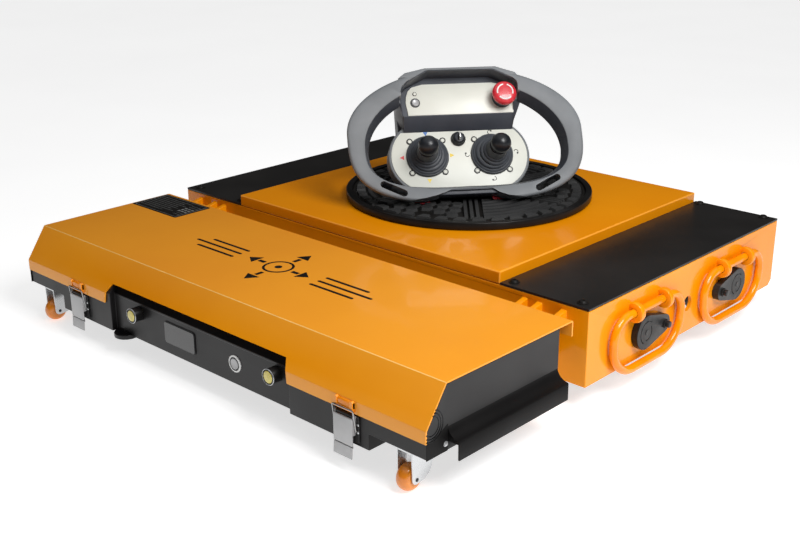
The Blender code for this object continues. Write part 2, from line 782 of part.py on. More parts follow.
# ---------------------------------------------------------------- hand control
def remote_frame():
    empty = bpy.data.objects.new("remote_frame", None)
    bpy.context.scene.collection.objects.link(empty)
    height = PAD_TOP + 0.4 + BASE_DROP
    empty.location = Vector((0, REMOTE_Y - FRAME_Y, height)) * MM
    across = Vector((math.cos(REMOTE_TURN), math.sin(REMOTE_TURN), 0))
    back = Vector((-math.sin(REMOTE_TURN), math.cos(REMOTE_TURN), 0))
    upward = back * math.sin(REMOTE_TILT) + Vector((0, 0, 1)) * math.cos(REMOTE_TILT)
    outward = across.cross(upward)
    turn = Matrix((across, upward, outward)).transposed()
    empty.rotation_euler = turn.to_euler()
    return empty


def loop_outline(a, middle, b_top, b_low, power, steps):
    """A half ellipse above and a squarer half below, round the loop's middle."""
    points = []
    for k in range(steps):
        turn = 2 * math.pi * k / steps
        c, s = math.cos(turn), math.sin(turn)
        if s >= 0:
            points.append((LOOP_U + a * c, middle + b_top * s))
            continue
        u = LOOP_U + a * math.copysign(abs(c) ** (2 / power), c)
        points.append((u, middle - b_low * abs(s) ** (2 / power)))
    return points


def stadium(half, radius, steps):
    return arc(half, 0, radius, -90, 90, steps) + arc(-half, 0, radius, 90, 270, steps)


def below_base(depth):
    """A block whose upper face is the plane that the hand control stands on."""
    shape = box(-200, 200, -150, 250, -depth, 0)
    shape.transform(Matrix.Rotation(-(math.pi / 2 - REMOTE_TILT), 4, "X"))
    down = Vector((0, -math.cos(REMOTE_TILT), -math.sin(REMOTE_TILT)))
    shape.transform(Matrix.Translation(down * (BASE_DROP - 0.05)))
    return shape


def remote_body(mats, frame):
    low, high = LOOP_W
    steps = 44
    rim = prism(loop_outline(LOOP_A, LOOP_V, LOOP_B, LOOP_B_LOW, 3.1, steps), low, high)
    body = node("remote_housing", rim, mats["grey"], parent=frame)
    cut(body, prism(loop_outline(LOOP_INNER_A, 0, 97, 62, 3.0, steps), low - 5, high + 5))
    notch = [(-92, -100), (-88, -80.5), (-64, -77.5), (-47, -74), (-34, -70), (-25, -66.2)]
    notch += [(33, -66.2), (42, -72.5), (57, -78.5), (82, -81.5), (90, -100)]
    cut(body, prism(notch, low - 5, high + 5))
    hood = [(39, -25), (39, 0), (57, PANEL_W), (108, high), (120, high), (120, -25)]
    console = prism(hood, LOOP_U - CONSOLE_HALF, LOOP_U + CONSOLE_HALF, "X")
    add(body, console)
    corners = []
    for s in (-1, 1):
        top = [(s * 62, 122), (s * 100, 122), (s * 100, 95), (s * 88, 103)]
        foot = [(s * 91, 74), (s * 100, 74), (s * 100, 30), (s * 78, 30), (s * 81, 50)]
        corners.append(prism([(LOOP_U + u, v) for u, v in top], high - 14, high + 5))
        corners.append(prism([(LOOP_U + u, v) for u, v in foot], -30, low - 4))
    cut(body, *corners)
    add(body, prism(stadium(STICK_U, POD_R, 12), -25, -GAP))
    heel = [(-50, -20), (-50, -GAP), (-54, -GAP), (-57, low + 4), (-66, high - 4)]
    heel += [(-74, high - 4), (-72, low), (-56, -5)]
    add(body, prism(heel, -62, 62, "X"))
    cut(body, box(LOOP_U - 82, LOOP_U + 82, 57.2, 107, PANEL_W, 80))
    openings = []
    for s in (-1, 1):
        openings.append(rod(12, -16, 5, (s * STICK_U, 0, 0), "Z", 16))
        openings.append(grip_slot(s))
    openings.append(rod(5.9, 12, 30, (*PUSH, 0), "Z", 12))
    cut(body, *openings)
    cut(body, below_base(60))


def grip_slot(side):
    """A strap slot through the lower corner of the loop."""
    slot = prism(stadium(16, 4.6, 5), LOOP_W[0] - 4, LOOP_W[1] + 4)
    slot.transform(Matrix.Rotation(side * math.radians(27), 4, "Z"))
    slot.transform(Matrix.Translation((LOOP_U + side * 111, -62, 0)))
    return slot


def base_v(w):
    """V of the standing plane, 0.4 mm clear of it, at a given W."""
    return (-BASE_DROP + 0.4 - w * math.sin(REMOTE_TILT)) / math.cos(REMOTE_TILT)


def remote_back(mats, frame):
    top = -25 - GAP
    outline = [(base_v(top), top), (112, top), (104, -56), (base_v(-72), -72)]
    shell = node("remote_back_shell", prism(outline, -84, 84, "X"), mats["slate"], parent=frame)
    bevelled(shell, 6, 2)


def faceplates(mats, frame):
    outline = [(u, v) for u, v in stadium(STICK_U, POD_R - 4, 12)]
    plate = node("lower_faceplate", prism(outline, 0, 1.5), mats["ivory"], parent=frame)
    cuts = [box(-120, 120, 38.6, 80, -1, 3)]
    for s in (-1, 1):
        cuts.append(rod(12, -2, 4, (s * STICK_U, 0, 0), "Z", 16))
    cuts.append(rod(6.5, -2, 4, (0, 25.6, 0), "Z", 12))
    cut(plate, *cuts)
    low = PANEL_W + GAP
    plate_box = box(LOOP_U - 81.6, LOOP_U + 81.6, 57.7, 106.5, low, low + 1.5)
    upper = node("upper_faceplate", plate_box, mats["ivory"], parent=frame)
    cut(upper, rod(5.9, low - 2, low + 4, (*PUSH, 0), "Z", 12))


def joysticks(mats, frame):
    for name, s in (("left", -1), ("right", 1)):
        u = s * STICK_U
        pivot = (u, 0, STICK_PIVOT_W)
        bellows = [
            (10.8, 1.8),
            (31, 1.8),
            (31, 5.5),
            (25.5, 8),
            (25.5, 11),
            (20.5, 13),
            (20.5, 17),
            (15.5, 20),
            (15.5, 29),
            (10.8, 29),
        ]
        node(f"joystick_boot_{name}", turned(bellows, 18, (u, 0, 0)), mats["bellows"], (u, 0, 1.8), frame)
        gimbal = [(7, -10), (10.5, -10), (10.5, -6), (7, -6)]
        node(f"joystick_gimbal_{name}", turned(gimbal, 16, (u, 0, 0)), mats["steel"], pivot, frame)
        knob = []
        for k in range(9):
            turn = math.radians(-62 + 152 * k / 8)
            knob.append((13.8 * math.cos(turn) if k < 8 else 0, KNOB_W + 13.8 * math.sin(turn)))
        stick = [(0, -13), (3.5, -13), (3.5, 0), (6, 4), (6, KNOB_W - 13)] + knob
        shape = turned(stick, 14, (0, 0, -STICK_PIVOT_W))
        shape.transform(Matrix.Rotation(s * STICK_LEAN, 4, "Y"))
        shape.transform(Matrix.Translation(pivot))
        node(f"joystick_stick_{name}", shape, mats["slate"], pivot, frame)


def remote_controls(mats, frame):
    low = PANEL_W + GAP + 1.5 + GAP
    u, v = ESTOP
    base = [(7.5, low), (14, low), (14, low + 9), (7.5, low + 9)]
    node("estop_base", turned(base, 20, (u, v, 0)), mats["slate"], (u, v, low), frame)
    head = [
        (0, low + 4.6),
        (7, low + 4.6),
        (7, low + 13),
        (16, low + 14),
        (18, low + 17),
        (18, low + 20),
        (15, low + 23.5),
        (0, low + 25),
    ]
    node("estop_button", turned(head, 24, (u, v, 0)), mats["red"], (u, v, low), frame)
    push = [(0, 14), (5.4, 14), (5.4, low + 2), (4.8, low + 2.6), (0, low + 2.6)]
    node("remote_button", turned(push, 12, (*PUSH, 0)), mats["slate"], (*PUSH, low), frame)
    barrel = [(0, GAP - 0.1), (6, GAP - 0.1), (6, 2), (11, 2), (11, 6), (8.5, 11), (0, 11)]
    key = node("key_switch", turned(barrel, 16, (0, 25.6, 0)), mats["steel"], (0, 25.6, 2), frame)
    add(key, box(-1.2, 1.2, 25.6 - 5.5, 25.6 + 5.5, 10, 23))


def build():
    clear_scene()
    mats = materials()
    chassis(mats)
    deck(mats)
    side_covers(mats)
    turntable(mats)
    lifting_rings(mats)
    release_levers(mats)
    wheels(mats)
    motors(mats)
    tray(mats)
    lid(mats)
    latches(mats)
    casters(mats)
    front_panel(mats)
    inside_box(mats)
    frame = remote_frame()
    remote_body(mats, frame)
    remote_back(mats, frame)
    faceplates(mats, frame)
    joysticks(mats, frame)
    remote_controls(mats, frame)


build()
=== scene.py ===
# Looks for the low omnidirectional mover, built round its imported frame.
# Shapes are written in millimetres, x across, y along, z up from the floor,
# and put into the frame by PLACE, or by REMOTE for the tilted hand control.
import math

import bmesh
import bpy
from mathutils import Matrix, Vector


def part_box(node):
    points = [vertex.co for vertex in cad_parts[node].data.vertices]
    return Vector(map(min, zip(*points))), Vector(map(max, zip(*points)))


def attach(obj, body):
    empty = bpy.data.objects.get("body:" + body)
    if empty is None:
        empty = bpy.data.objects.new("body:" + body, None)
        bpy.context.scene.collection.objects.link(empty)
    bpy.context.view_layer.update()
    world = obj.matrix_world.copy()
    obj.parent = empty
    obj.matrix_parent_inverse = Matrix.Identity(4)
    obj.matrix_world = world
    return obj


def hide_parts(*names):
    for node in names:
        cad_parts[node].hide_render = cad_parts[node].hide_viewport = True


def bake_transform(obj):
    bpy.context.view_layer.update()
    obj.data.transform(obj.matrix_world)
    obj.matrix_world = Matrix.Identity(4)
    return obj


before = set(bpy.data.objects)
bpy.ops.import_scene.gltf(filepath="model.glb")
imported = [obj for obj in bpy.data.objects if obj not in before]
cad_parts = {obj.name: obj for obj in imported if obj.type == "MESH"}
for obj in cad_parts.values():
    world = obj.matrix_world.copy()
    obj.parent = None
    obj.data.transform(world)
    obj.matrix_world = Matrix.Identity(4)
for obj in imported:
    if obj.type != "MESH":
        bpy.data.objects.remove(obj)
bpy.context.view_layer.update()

MM = 0.001
ALONG = 721.4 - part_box("chassis")[1].y / MM      # the frame's y is measured from here
PLACE = Matrix.Translation((0, -ALONG * MM, 0)) @ Matrix.Scale(MM, 4)
ENDS = ("left_front", "left_rear", "right_front", "right_rear")
BOTH = (("left", -1), ("right", 1))
ROLLERS = 8                  # rollers on each wheel
ROLLER_SLANT = 45
RIBS_START = 108.0           # where the first sector of the pad's tread begins, in degrees
TREAD_LOW, TREAD_HIGH = 151.6, 155.9
RING_TUBE = 5.3              # radius of a lifting ring's bar
LID_TOP = 128.1
LID_FRONT = -30.4
LID_FOLD = 84.0              # where the lid's sloping front meets its upright strip
LID_HALF = 380.0
SHEET = 2.0
BEND = 2.4                   # outer radius of the lid's bends
LOWER_FACE = 1.5             # height of the two face plates in the hand control's own axes
UPPER_FACE = 19.8
STICK_U = 48.0
COAT_IOR = 1.6


def middle(node):
    low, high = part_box(node)
    return (low + high) / 2


def shift(by):
    return Matrix.Translation(by)


def turning(degrees, axis):
    return Matrix.Rotation(math.radians(degrees), 4, axis)


def in_mm(point):
    """A point of the frame in the millimetres that shapes are written in."""
    return Vector((point[0] / MM, point[1] / MM + ALONG, point[2] / MM))


def box_mm(node):
    low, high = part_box(node)
    return in_mm(low), in_mm(high)


# ---- the hand control's own axes: U across its face, V up it, W out of it ----
TURN = math.radians(51.3)
TILT = math.radians(35.0)
AXIS_U = Vector((math.cos(TURN), math.sin(TURN), 0))
AXIS_V = Vector((-math.sin(TURN), math.cos(TURN), 0)) * math.sin(TILT) + Vector((0, 0, math.cos(TILT)))
AXIS_W = AXIS_U.cross(AXIS_V)
STAND = Vector((0, middle("turntable_plate").y - 0.0213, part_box("rubber_pad")[1].z + 0.0503))
TURNED = Matrix((AXIS_U, AXIS_V, AXIS_W)).transposed().to_4x4()
REMOTE = shift(STAND) @ TURNED @ Matrix.Scale(MM, 4)
LOOP_U, LOOP_V = 4.0, 21.6


# ---------------------------------------------------------------- materials
def surface(name, dark, light, rough, patches, grain, depth, metallic=0.0,
            coat=0.0, coat_rough=0.1, worn=None, speck=0.0, shine=0.5):
    """A node material: patchy colour and roughness, fine grain in the bump, worn edges."""
    mat = bpy.data.materials.new(name)
    mat.use_nodes = True
    nodes, links = mat.node_tree.nodes, mat.node_tree.links
    out = nodes["Principled BSDF"]
    place = nodes.new("ShaderNodeTexCoord")

    def noise(size, detail):
        found = nodes.new("ShaderNodeTexNoise")
        found.inputs["Scale"].default_value = size
        found.inputs["Detail"].default_value = detail
        links.new(place.outputs["Object"], found.inputs["Vector"])
        return found.outputs["Fac"]

    def mixed(a, b, factor):
        mix = nodes.new("ShaderNodeMix")
        mix.data_type = "RGBA"
        for socket, value in ((6, a), (7, b)):
            if isinstance(value, tuple):
                mix.inputs[socket].default_value = (*value, 1)
            else:
                links.new(value, mix.inputs[socket])
        links.new(factor, mix.inputs[0])
        return mix.outputs[2]

    def ramp(source, low, high, start=0.0, end=1.0):
        found = nodes.new("ShaderNodeMapRange")
        for socket, value in enumerate((low, high, start, end), 1):
            found.inputs[socket].default_value = value
        links.new(source, found.inputs[0])
        return found.outputs[0]

    patch = noise(patches, 3.0)
    colour = mixed(dark, light, ramp(patch, 0.35, 0.65))
    if speck:
        fleck = noise(grain * 0.6, 1.0)
        pale = tuple(min(1.0, c * 1.6 + 0.03) for c in light)
        colour = mixed(colour, pale, ramp(fleck, 0.62, 0.8, 0.0, speck))
    if worn:
        edge = nodes.new("ShaderNodeNewGeometry")
        rubbed = ramp(edge.outputs["Pointiness"], 0.54, 0.66, 0.0, worn[1])
        colour = mixed(colour, worn[0], rubbed)
    links.new(colour, out.inputs["Base Color"])
    links.new(ramp(noise(patches * 3, 2.0), 0.3, 0.7, rough[0], rough[1]), out.inputs["Roughness"])
    bump = nodes.new("ShaderNodeBump")
    bump.inputs["Strength"].default_value = 1.0
    bump.inputs["Distance"].default_value = depth * MM
    links.new(noise(grain, 2.0), bump.inputs["Height"])
    links.new(bump.outputs["Normal"], out.inputs["Normal"])
    for socket, value in (("Metallic", metallic), ("Coat Weight", coat), ("Coat Roughness", coat_rough),
                          ("Coat IOR", COAT_IOR), ("Specular IOR Level", shine)):
        out.inputs[socket].default_value = value
    return mat


# material, library slot, darker and lighter colour, roughness range, size of patches,
# fineness of grain, depth of grain in mm, and what else sets it apart
MATERIALS = {
    "orange": ("orange_coat", "orange_powder_coat", (0.84, 0.272, 0.001), (0.9, 0.312, 0.002),
        (0.2, 0.27), 5, 420, 0.008, dict(coat=0.3, coat_rough=0.06, worn=((1.0, 0.5, 0.1), 0.35),
                                         shine=0.12)),
    "ring_orange": ("ring_coat", "orange_powder_coat", (0.84, 0.235, 0.001), (0.92, 0.29, 0.002),
        (0.14, 0.2), 30, 500, 0.015, dict(coat=0.2, coat_rough=0.04, worn=((1.0, 0.5, 0.1), 0.3),
                                          shine=0.25)),
    # a lighter, glossier orange for a narrow strip along the lid's bend: a painted highlight, not a paint of
    # its own
    "crease": ("lid_bend_painted_highlight", "orange_powder_coat", (0.95, 0.56, 0.14), (1.0, 0.64, 0.2),
        (0.2, 0.3), 20, 500, 0.01, dict(coat=0.4, coat_rough=0.1, shine=0.5)),
    "graphite": ("graphite_coat", "graphite_powder_coat", (0.0075, 0.007, 0.0072), (0.0105, 0.0098, 0.01),
        (0.3, 0.4), 6, 1500, 0.02, dict(worn=((0.12, 0.12, 0.12), 0.25), speck=0.12, shine=0.27)),
    # a darker, duller copy of the graphite: painted shade for the tray's side skirts and for the strips where
    # shadow falls
    "skirt": ("graphite_painted_shade", "graphite_powder_coat", (0.004, 0.0038, 0.0038), (0.0065, 0.006, 0.006),
        (0.4, 0.5), 6, 1500, 0.02, dict(shine=0.09)),
    "cover": ("cover_coat", "black_coated_steel", (0.012, 0.011, 0.0105), (0.0175, 0.016, 0.0152),
        (0.3, 0.42), 5, 1500, 0.02, dict(speck=0.12, shine=0.35)),
    "black": ("black_coat", "black_coated_steel", (0.0045, 0.0042, 0.0042), (0.008, 0.0074, 0.0072),
        (0.28, 0.4), 20, 1200, 0.02, dict(shine=0.3)),
    "ink": ("ink", "black_coated_steel", (0.008, 0.0072, 0.0065), (0.013, 0.012, 0.011),
        (0.4, 0.5), 40, 2000, 0.01, dict(shine=0.12)),
    "rubber": ("pad_rubber", "black_rubber", (0.02, 0.02, 0.0203), (0.032, 0.032, 0.0325),
        (0.45, 0.62), 25, 1600, 0.05, dict(worn=((0.05, 0.05, 0.05), 0.5), shine=0.2)),
    "moulded": ("lever_moulding", "moulded_lever", (0.0065, 0.0065, 0.0068), (0.012, 0.012, 0.0125),
        (0.3, 0.44), 40, 2200, 0.04, dict(worn=((0.06, 0.06, 0.06), 0.5), speck=0.15, shine=0.3)),
    "rule": ("plate_rules", "ivory_faceplate", (0.16, 0.165, 0.16), (0.22, 0.225, 0.22),
        (0.4, 0.5), 80, 2000, 0.01, {}),
    "roller": ("roller_rubber", "roller_urethane", (0.012, 0.012, 0.0125), (0.022, 0.022, 0.023),
        (0.5, 0.65), 60, 1800, 0.05, {}),
    "plate": ("latch_plate", "brushed_steel", (0.4, 0.4, 0.405), (0.46, 0.46, 0.465),
        (0.3, 0.4), 30, 900, 0.01, dict(metallic=0.15)),
    "wire": ("bail_steel", "brushed_steel", (0.3, 0.3, 0.3), (0.42, 0.42, 0.42),
        (0.24, 0.36), 60, 700, 0.02, dict(metallic=1.0)),
    "steel": ("turned_steel", "brushed_steel", (0.42, 0.42, 0.41), (0.56, 0.56, 0.55),
        (0.26, 0.38), 40, 700, 0.02, dict(metallic=1.0)),
    "zinc": ("zinc_plate", "zinc_plated_steel", (0.6, 0.61, 0.62), (0.64, 0.65, 0.66),
        (0.22, 0.32), 8, 600, 0.004, dict(metallic=0.8)),
    "alloy": ("cast_alloy", "cast_aluminium", (0.3, 0.3, 0.31), (0.42, 0.42, 0.43),
        (0.4, 0.55), 40, 900, 0.12, dict(metallic=0.9)),
    "urethane": ("wheel_urethane", "orange_polyurethane", (0.78, 0.22, 0.008), (0.88, 0.28, 0.015),
        (0.25, 0.36), 60, 900, 0.03, dict(coat=0.4, coat_rough=0.15)),
    "battery": ("battery_case", "battery_case", (0.035, 0.05, 0.075), (0.05, 0.07, 0.1),
        (0.4, 0.55), 10, 1500, 0.06, {}),
    "lens": ("lamp_lens", "yellow_lens", (0.6, 0.48, 0.055), (0.74, 0.62, 0.1),
        (0.18, 0.26), 200, 900, 0.02, dict(coat=0.6, coat_rough=0.05)),
    "gloss": ("gloss_black", "display_glass", (0.004, 0.004, 0.0045), (0.008, 0.008, 0.0085),
        (0.16, 0.24), 80, 800, 0.01, dict(shine=0.2)),
    "screen": ("screen_glass", "display_glass", (0.01, 0.0097, 0.0103), (0.015, 0.0145, 0.0155),
        (0.16, 0.24), 8, 600, 0.004, dict(coat=0.4, coat_rough=0.05)),
    "grip": ("grip_plastic", "grey_plastic", (0.15, 0.16, 0.169), (0.182, 0.193, 0.204),
        (0.42, 0.52), 16, 2600, 0.05, dict(worn=((0.32, 0.335, 0.35), 0.35), speck=0.2, shine=0.3)),
    "slate": ("slate_plastic", "slate_plastic", (0.027, 0.031, 0.042), (0.04, 0.045, 0.058),
        (0.4, 0.5), 20, 2400, 0.05, dict(worn=((0.09, 0.1, 0.12), 0.35), speck=0.15, shine=0.35)),
    "knob": ("knob_plastic", "slate_plastic", (0.0085, 0.01, 0.0135), (0.014, 0.0165, 0.021),
        (0.3, 0.4), 50, 2400, 0.04, dict(worn=((0.05, 0.05, 0.06), 0.3), shine=0.45)),
    "boot": ("boot_rubber", "grey_rubber", (0.036, 0.041, 0.05), (0.052, 0.058, 0.069),
        (0.4, 0.52), 50, 2000, 0.04, dict(worn=((0.07, 0.075, 0.085), 0.5), shine=0.4)),
    "ivory": ("face_film", "ivory_faceplate", (0.68, 0.685, 0.61), (0.75, 0.755, 0.685),
        (0.34, 0.42), 9, 3000, 0.015, dict(speck=0.1)),
    "red": ("stop_red", "red_plastic", (0.58, 0.02, 0.035), (0.7, 0.035, 0.05),
        (0.24, 0.34), 50, 1400, 0.03, dict(coat=0.3, coat_rough=0.1)),
    "white": ("mark_white", "ivory_faceplate", (0.78, 0.78, 0.77), (0.86, 0.86, 0.85),
        (0.4, 0.5), 80, 2000, 0.01, {}),
    "mark_red": ("mark_red", "red_plastic", (0.62, 0.03, 0.03), (0.72, 0.05, 0.05),
        (0.4, 0.5), 80, 2000, 0.01, {}),
    "mark_yellow": ("mark_yellow", "yellow_lens", (0.72, 0.5, 0.02), (0.82, 0.6, 0.05),
        (0.4, 0.5), 80, 2000, 0.01, {}),
    "mark_blue": ("mark_blue", "slate_plastic", (0.04, 0.14, 0.42), (0.07, 0.2, 0.52),
        (0.4, 0.5), 80, 2000, 0.01, {}),
}
MATS = {key: surface(row[0], *row[2:8], **row[8]) for key, row in MATERIALS.items()}


# ---------------------------------------------------------------- shapes
def arc(cx, cy, radius, start, end, steps):
    points = []
    for k in range(steps + 1):
        turn = math.radians(start + (end - start) * k / steps)
        points.append((cx + radius * math.cos(turn), cy + radius * math.sin(turn)))
    return points


def stadium(half, radius, steps):
    return arc(half, 0, radius, -90, 90, steps) + arc(-half, 0, radius, 90, 270, steps)


def hexagon(a, b, radius, start=0):
    return arc(a, b, radius, start, start + 300, 5)


def rounded(x0, x1, y0, y1, r, steps=6):
    corners = ((x1 - r, y1 - r, 0), (x0 + r, y1 - r, 90), (x0 + r, y0 + r, 180), (x1 - r, y0 + r, 270))
    points = []
    for cx, cy, start in corners:
        points += arc(cx, cy, r, start, start + 90, steps)
    return points


def moved(points, dx, dy):
    return [(a + dx, b + dy) for a, b in points]


def prism(outline, low, high, axis="Z"):
    bm = bmesh.new()
    order = {"X": (2, 0, 1), "Y": (0, 2, 1), "Z": (0, 1, 2)}[axis]
    floor, roof = ([bm.verts.new([(a, b, end)[k] for k in order]) for a, b in outline] for end in (low, high))
    bm.faces.new(floor)
    bm.faces.new(roof)
    for i in range(len(outline)):
        j = (i + 1) % len(outline)
        bm.faces.new((floor[i], floor[j], roof[j], roof[i]))
    return finished(bm)


def box(x0, x1, y0, y1, z0, z1):
    return prism([(x0, y0), (x1, y0), (x1, y1), (x0, y1)], z0, z1)


def quads(bm, near, far):
    """Join two closed rings of points."""
    for i in range(len(near)):
        j = (i + 1) % len(near)
        bm.faces.new((near[i], far[i], far[j], near[j]))


def finished(bm):
    bmesh.ops.recalc_face_normals(bm, faces=bm.faces)
    return bm


def turned(profile, steps, centre=(0, 0, 0), axis="Z", span=360.0, start=0.0):
    """Spin a closed (radius, height) profile about an axis, all round or part of the way."""
    bm = bmesh.new()
    whole = span >= 360.0
    rows = steps if whole else steps + 1
    rings = []
    for k in range(rows):
        turn = math.radians(start + span * k / steps)
        ring = [bm.verts.new((r * math.cos(turn), r * math.sin(turn), h)) for r, h in profile]
        rings.append(ring)
    for k in range(steps):
        quads(bm, rings[k], rings[(k + 1) % rows])
    if not whole:
        bm.faces.new(rings[0])
        bm.faces.new(rings[-1])
    bmesh.ops.remove_doubles(bm, verts=bm.verts, dist=1e-5)
    loose = [f for f in bm.faces if f.calc_area() < 1e-9]
    bmesh.ops.delete(bm, geom=loose, context="FACES_ONLY")
    if axis == "X":
        bm.transform(turning(90, "Y"))
    if axis == "Y":
        bm.transform(turning(-90, "X"))
    bm.transform(shift(Vector(centre)))
    return finished(bm)


def rod(radius, low, high, centre, axis, steps=48, edge=0.5):
    base = list(centre)
    base["XYZ".index(axis)] = 0
    profile = [(0, low), (radius - edge, low), (radius, low + edge), (radius, high - edge)]
    profile += [(radius - edge, high), (0, high)]
    return turned(profile, steps, base, axis)


def swept(path, radius, sides, closed):
    bm = bmesh.new()
    points = [Vector(p) for p in path]
    count = len(points)
    rings = []
    side = None
    for i, p in enumerate(points):
        before = points[i - 1] if closed or i else p
        after = points[(i + 1) % count] if closed or i < count - 1 else p
        ahead = (after - before).normalized()
        if side is None:
            side = ahead.orthogonal().normalized()
        side = (side - ahead * side.dot(ahead)).normalized()
        other = ahead.cross(side)
        ring = []
        for k in range(sides):
            turn = 2 * math.pi * k / sides
            ring.append(bm.verts.new(p + (side * math.cos(turn) + other * math.sin(turn)) * radius))
        rings.append(ring)
    for i in range(count if closed else count - 1):
        j = (i + 1) % count
        for k in range(sides):
            m = (k + 1) % sides
            bm.faces.new((rings[i][k], rings[i][m], rings[j][m], rings[j][k]))
    if not closed:
        bm.faces.new(rings[0])
        bm.faces.new(rings[-1])
    return finished(bm)


def shown(name, data):
    item = bpy.data.objects.new(name, data)
    bpy.context.scene.collection.objects.link(item)
    return item


def together(shapes):
    """Several separate shapes in one bmesh."""
    whole = bmesh.new()
    for shape in shapes:
        mesh = bpy.data.meshes.new("part")
        shape.to_mesh(mesh)
        whole.from_mesh(mesh)
        bpy.data.meshes.remove(mesh)
        shape.free()
    return whole


def carved(shape, *tools):
    """What is left of a shape when the tools, which don't overlap each other, are taken away."""
    holders = []
    for name, bm in (("base", shape), ("tool", together(tools))):
        mesh = bpy.data.meshes.new(name)
        bm.to_mesh(mesh)
        bm.free()
        holders.append(shown(name, mesh))
    modifier = holders[0].modifiers.new("boolean", "BOOLEAN")
    modifier.operation = "DIFFERENCE"
    modifier.solver = "EXACT"
    modifier.object = holders[1]
    graph = bpy.context.evaluated_depsgraph_get()
    made = bpy.data.meshes.new_from_object(holders[0].evaluated_get(graph))
    result = bmesh.new()
    result.from_mesh(made)
    bpy.data.meshes.remove(made)
    for item in holders:
        mesh = item.data
        bpy.data.objects.remove(item)
        bpy.data.meshes.remove(mesh)
    bmesh.ops.remove_doubles(result, verts=result.verts, dist=1e-3)
    return result


def soften(bm, width, segments, angle=32.0, shortest=2.5):
    """Round the sharp edges that are long enough to take it."""
    edges = [e for e in bm.edges if len(e.link_faces) == 2 and e.calc_face_angle(0) > math.radians(angle)
             and e.calc_length() > shortest * width]
    bmesh.ops.bevel(bm, geom=edges, offset=width, segments=segments, profile=0.5, affect="EDGES",
                    clamp_overlap=False, miter_outer="ARC")
    return bm


def flat_faces(item):
    """Keep the broad faces flat where they run into a small rounded edge."""
    item.modifiers.new("flat_faces", "WEIGHTED_NORMAL").keep_sharp = True


def piece(name, shape, mat, body, replaces=(), place=PLACE, bevel=0.0, segments=2, angle=34.0, rides=True):
    """Make a finished piece from a shape and put it on its body."""
    if bevel:
        soften(shape, bevel, segments)
    shape.transform(place)
    mesh = bpy.data.meshes.new(name)
    shape.to_mesh(mesh)
    shape.free()
    mesh.materials.append(MATS[mat])
    mesh.shade_smooth()
    mesh.set_sharp_from_angle(angle=math.radians(angle))
    item = shown(name, mesh)
    if bevel:
        flat_faces(item)
    if replaces:
        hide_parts(*replaces)
    if rides:
        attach(item, body)
    return item


def softened(node, mat, body, width):
    """A copy of a CAD node with rounded edges, which stands for it."""
    bm = bmesh.new()
    bm.from_mesh(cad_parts[node].data)
    bm.transform(PLACE.inverted())
    bmesh.ops.remove_doubles(bm, verts=bm.verts, dist=1e-3)
    bmesh.ops.dissolve_limit(bm, angle_limit=math.radians(0.6), verts=bm.verts, edges=bm.edges)
    soften(bm, width, 2, 32.0, 4.0)
    flat_faces(piece(f"{node}_shown", bm, mat, body, (node,)))


# ---------------------------------------------------------------- trolley
def cover_bolt(x, y, z):
    """A low button-head screw on a plain washer."""
    profile = [(0, z), (7.2, z), (7.2, z + 0.7), (5.8, z + 0.9), (5.5, z + 1.4), (4.9, z + 2.6),
               (3.6, z + 3.5)]
    profile += [(2.4, z + 3.7), (2.1, z + 3.4), (1.9, z + 1.8), (0, z + 1.7)]
    return turned(profile, 32, (x, y, 0))


def trolley():
    softened("chassis", "orange", "trolley", 1.0)
    softened("deck_plate", "orange", "trolley", 0.9)
    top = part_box("side_cover_right")[1].z / MM
    for name, s in BOTH:
        softened(f"side_cover_{name}", "cover", "trolley", 0.5)
        bolts = [cover_bolt(s * x, y, top) for x in (260.5, 361.5) for y in (263.5, 712.0)]
        piece(f"cover_bolts_{name}", together(bolts), "ink", "trolley")
    softened("turntable_bearing", "steel", "trolley", 0.6)
    for end in ENDS:
        softened(f"drive_motor_{end}", "alloy", "trolley", 1.2)
        side = 1 if "right" in end else -1
        spot = in_mm(middle(f"drive_motor_{end}"))
        along = [side * (112 + 9 * k) for k in range(9)]
        fins = [rod(27.6, x - 1.5, x + 1.5, (0, spot.y, 68), "X", 48, 0.6) for x in along]
        fins.append(rod(26.3, side * 102 - 3, side * 102 + 3, (0, spot.y, 68), "X", 48, 1.0))
        piece(f"motor_fins_{end}", together(fins), "black", "trolley")


def ring_lugs():
    for end in ENDS:
        spot = in_mm(middle(f"d_ring_{end}"))
        ring_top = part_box(f"d_ring_{end}")[1].z / MM - RING_TUBE
        lugs = []
        for t in (-33, 33):
            profile = [(6.0, -2.6), (7.0, -3.9), (10.6, -4.2), (12.2, -3.4), (13.0, -1.6), (13.0, 1.6),
                       (12.2, 3.4)]
            profile += [(10.6, 4.2), (7.0, 3.9), (6.0, 2.6)]
            lugs.append(turned(profile, 64, (spot.x, spot.y + t, ring_top), "Y"))
        piece(f"ring_lugs_{end}", together(lugs), "ring_orange", "trolley")


def ring_path(x, middle_y, z):
    half = arc(48, -29, 29, 90, 0, 18) + arc(33, -29, 45, -18, -90, 20)
    other = [(-a, b) for a, b in reversed(half)]
    return [(x, middle_y + a, z + b) for a, b in half + other]


def lifting_rings():
    for end in ENDS:
        spot = in_mm(middle(f"d_ring_{end}"))
        ring_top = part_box(f"d_ring_{end}")[1].z / MM - RING_TUBE
        path = ring_path(spot.x, spot.y, ring_top)
        piece(f"lifting_ring_{end}", swept(path, RING_TUBE, 24, True), "ring_orange", f"ring_{end}",
              (f"d_ring_{end}",))


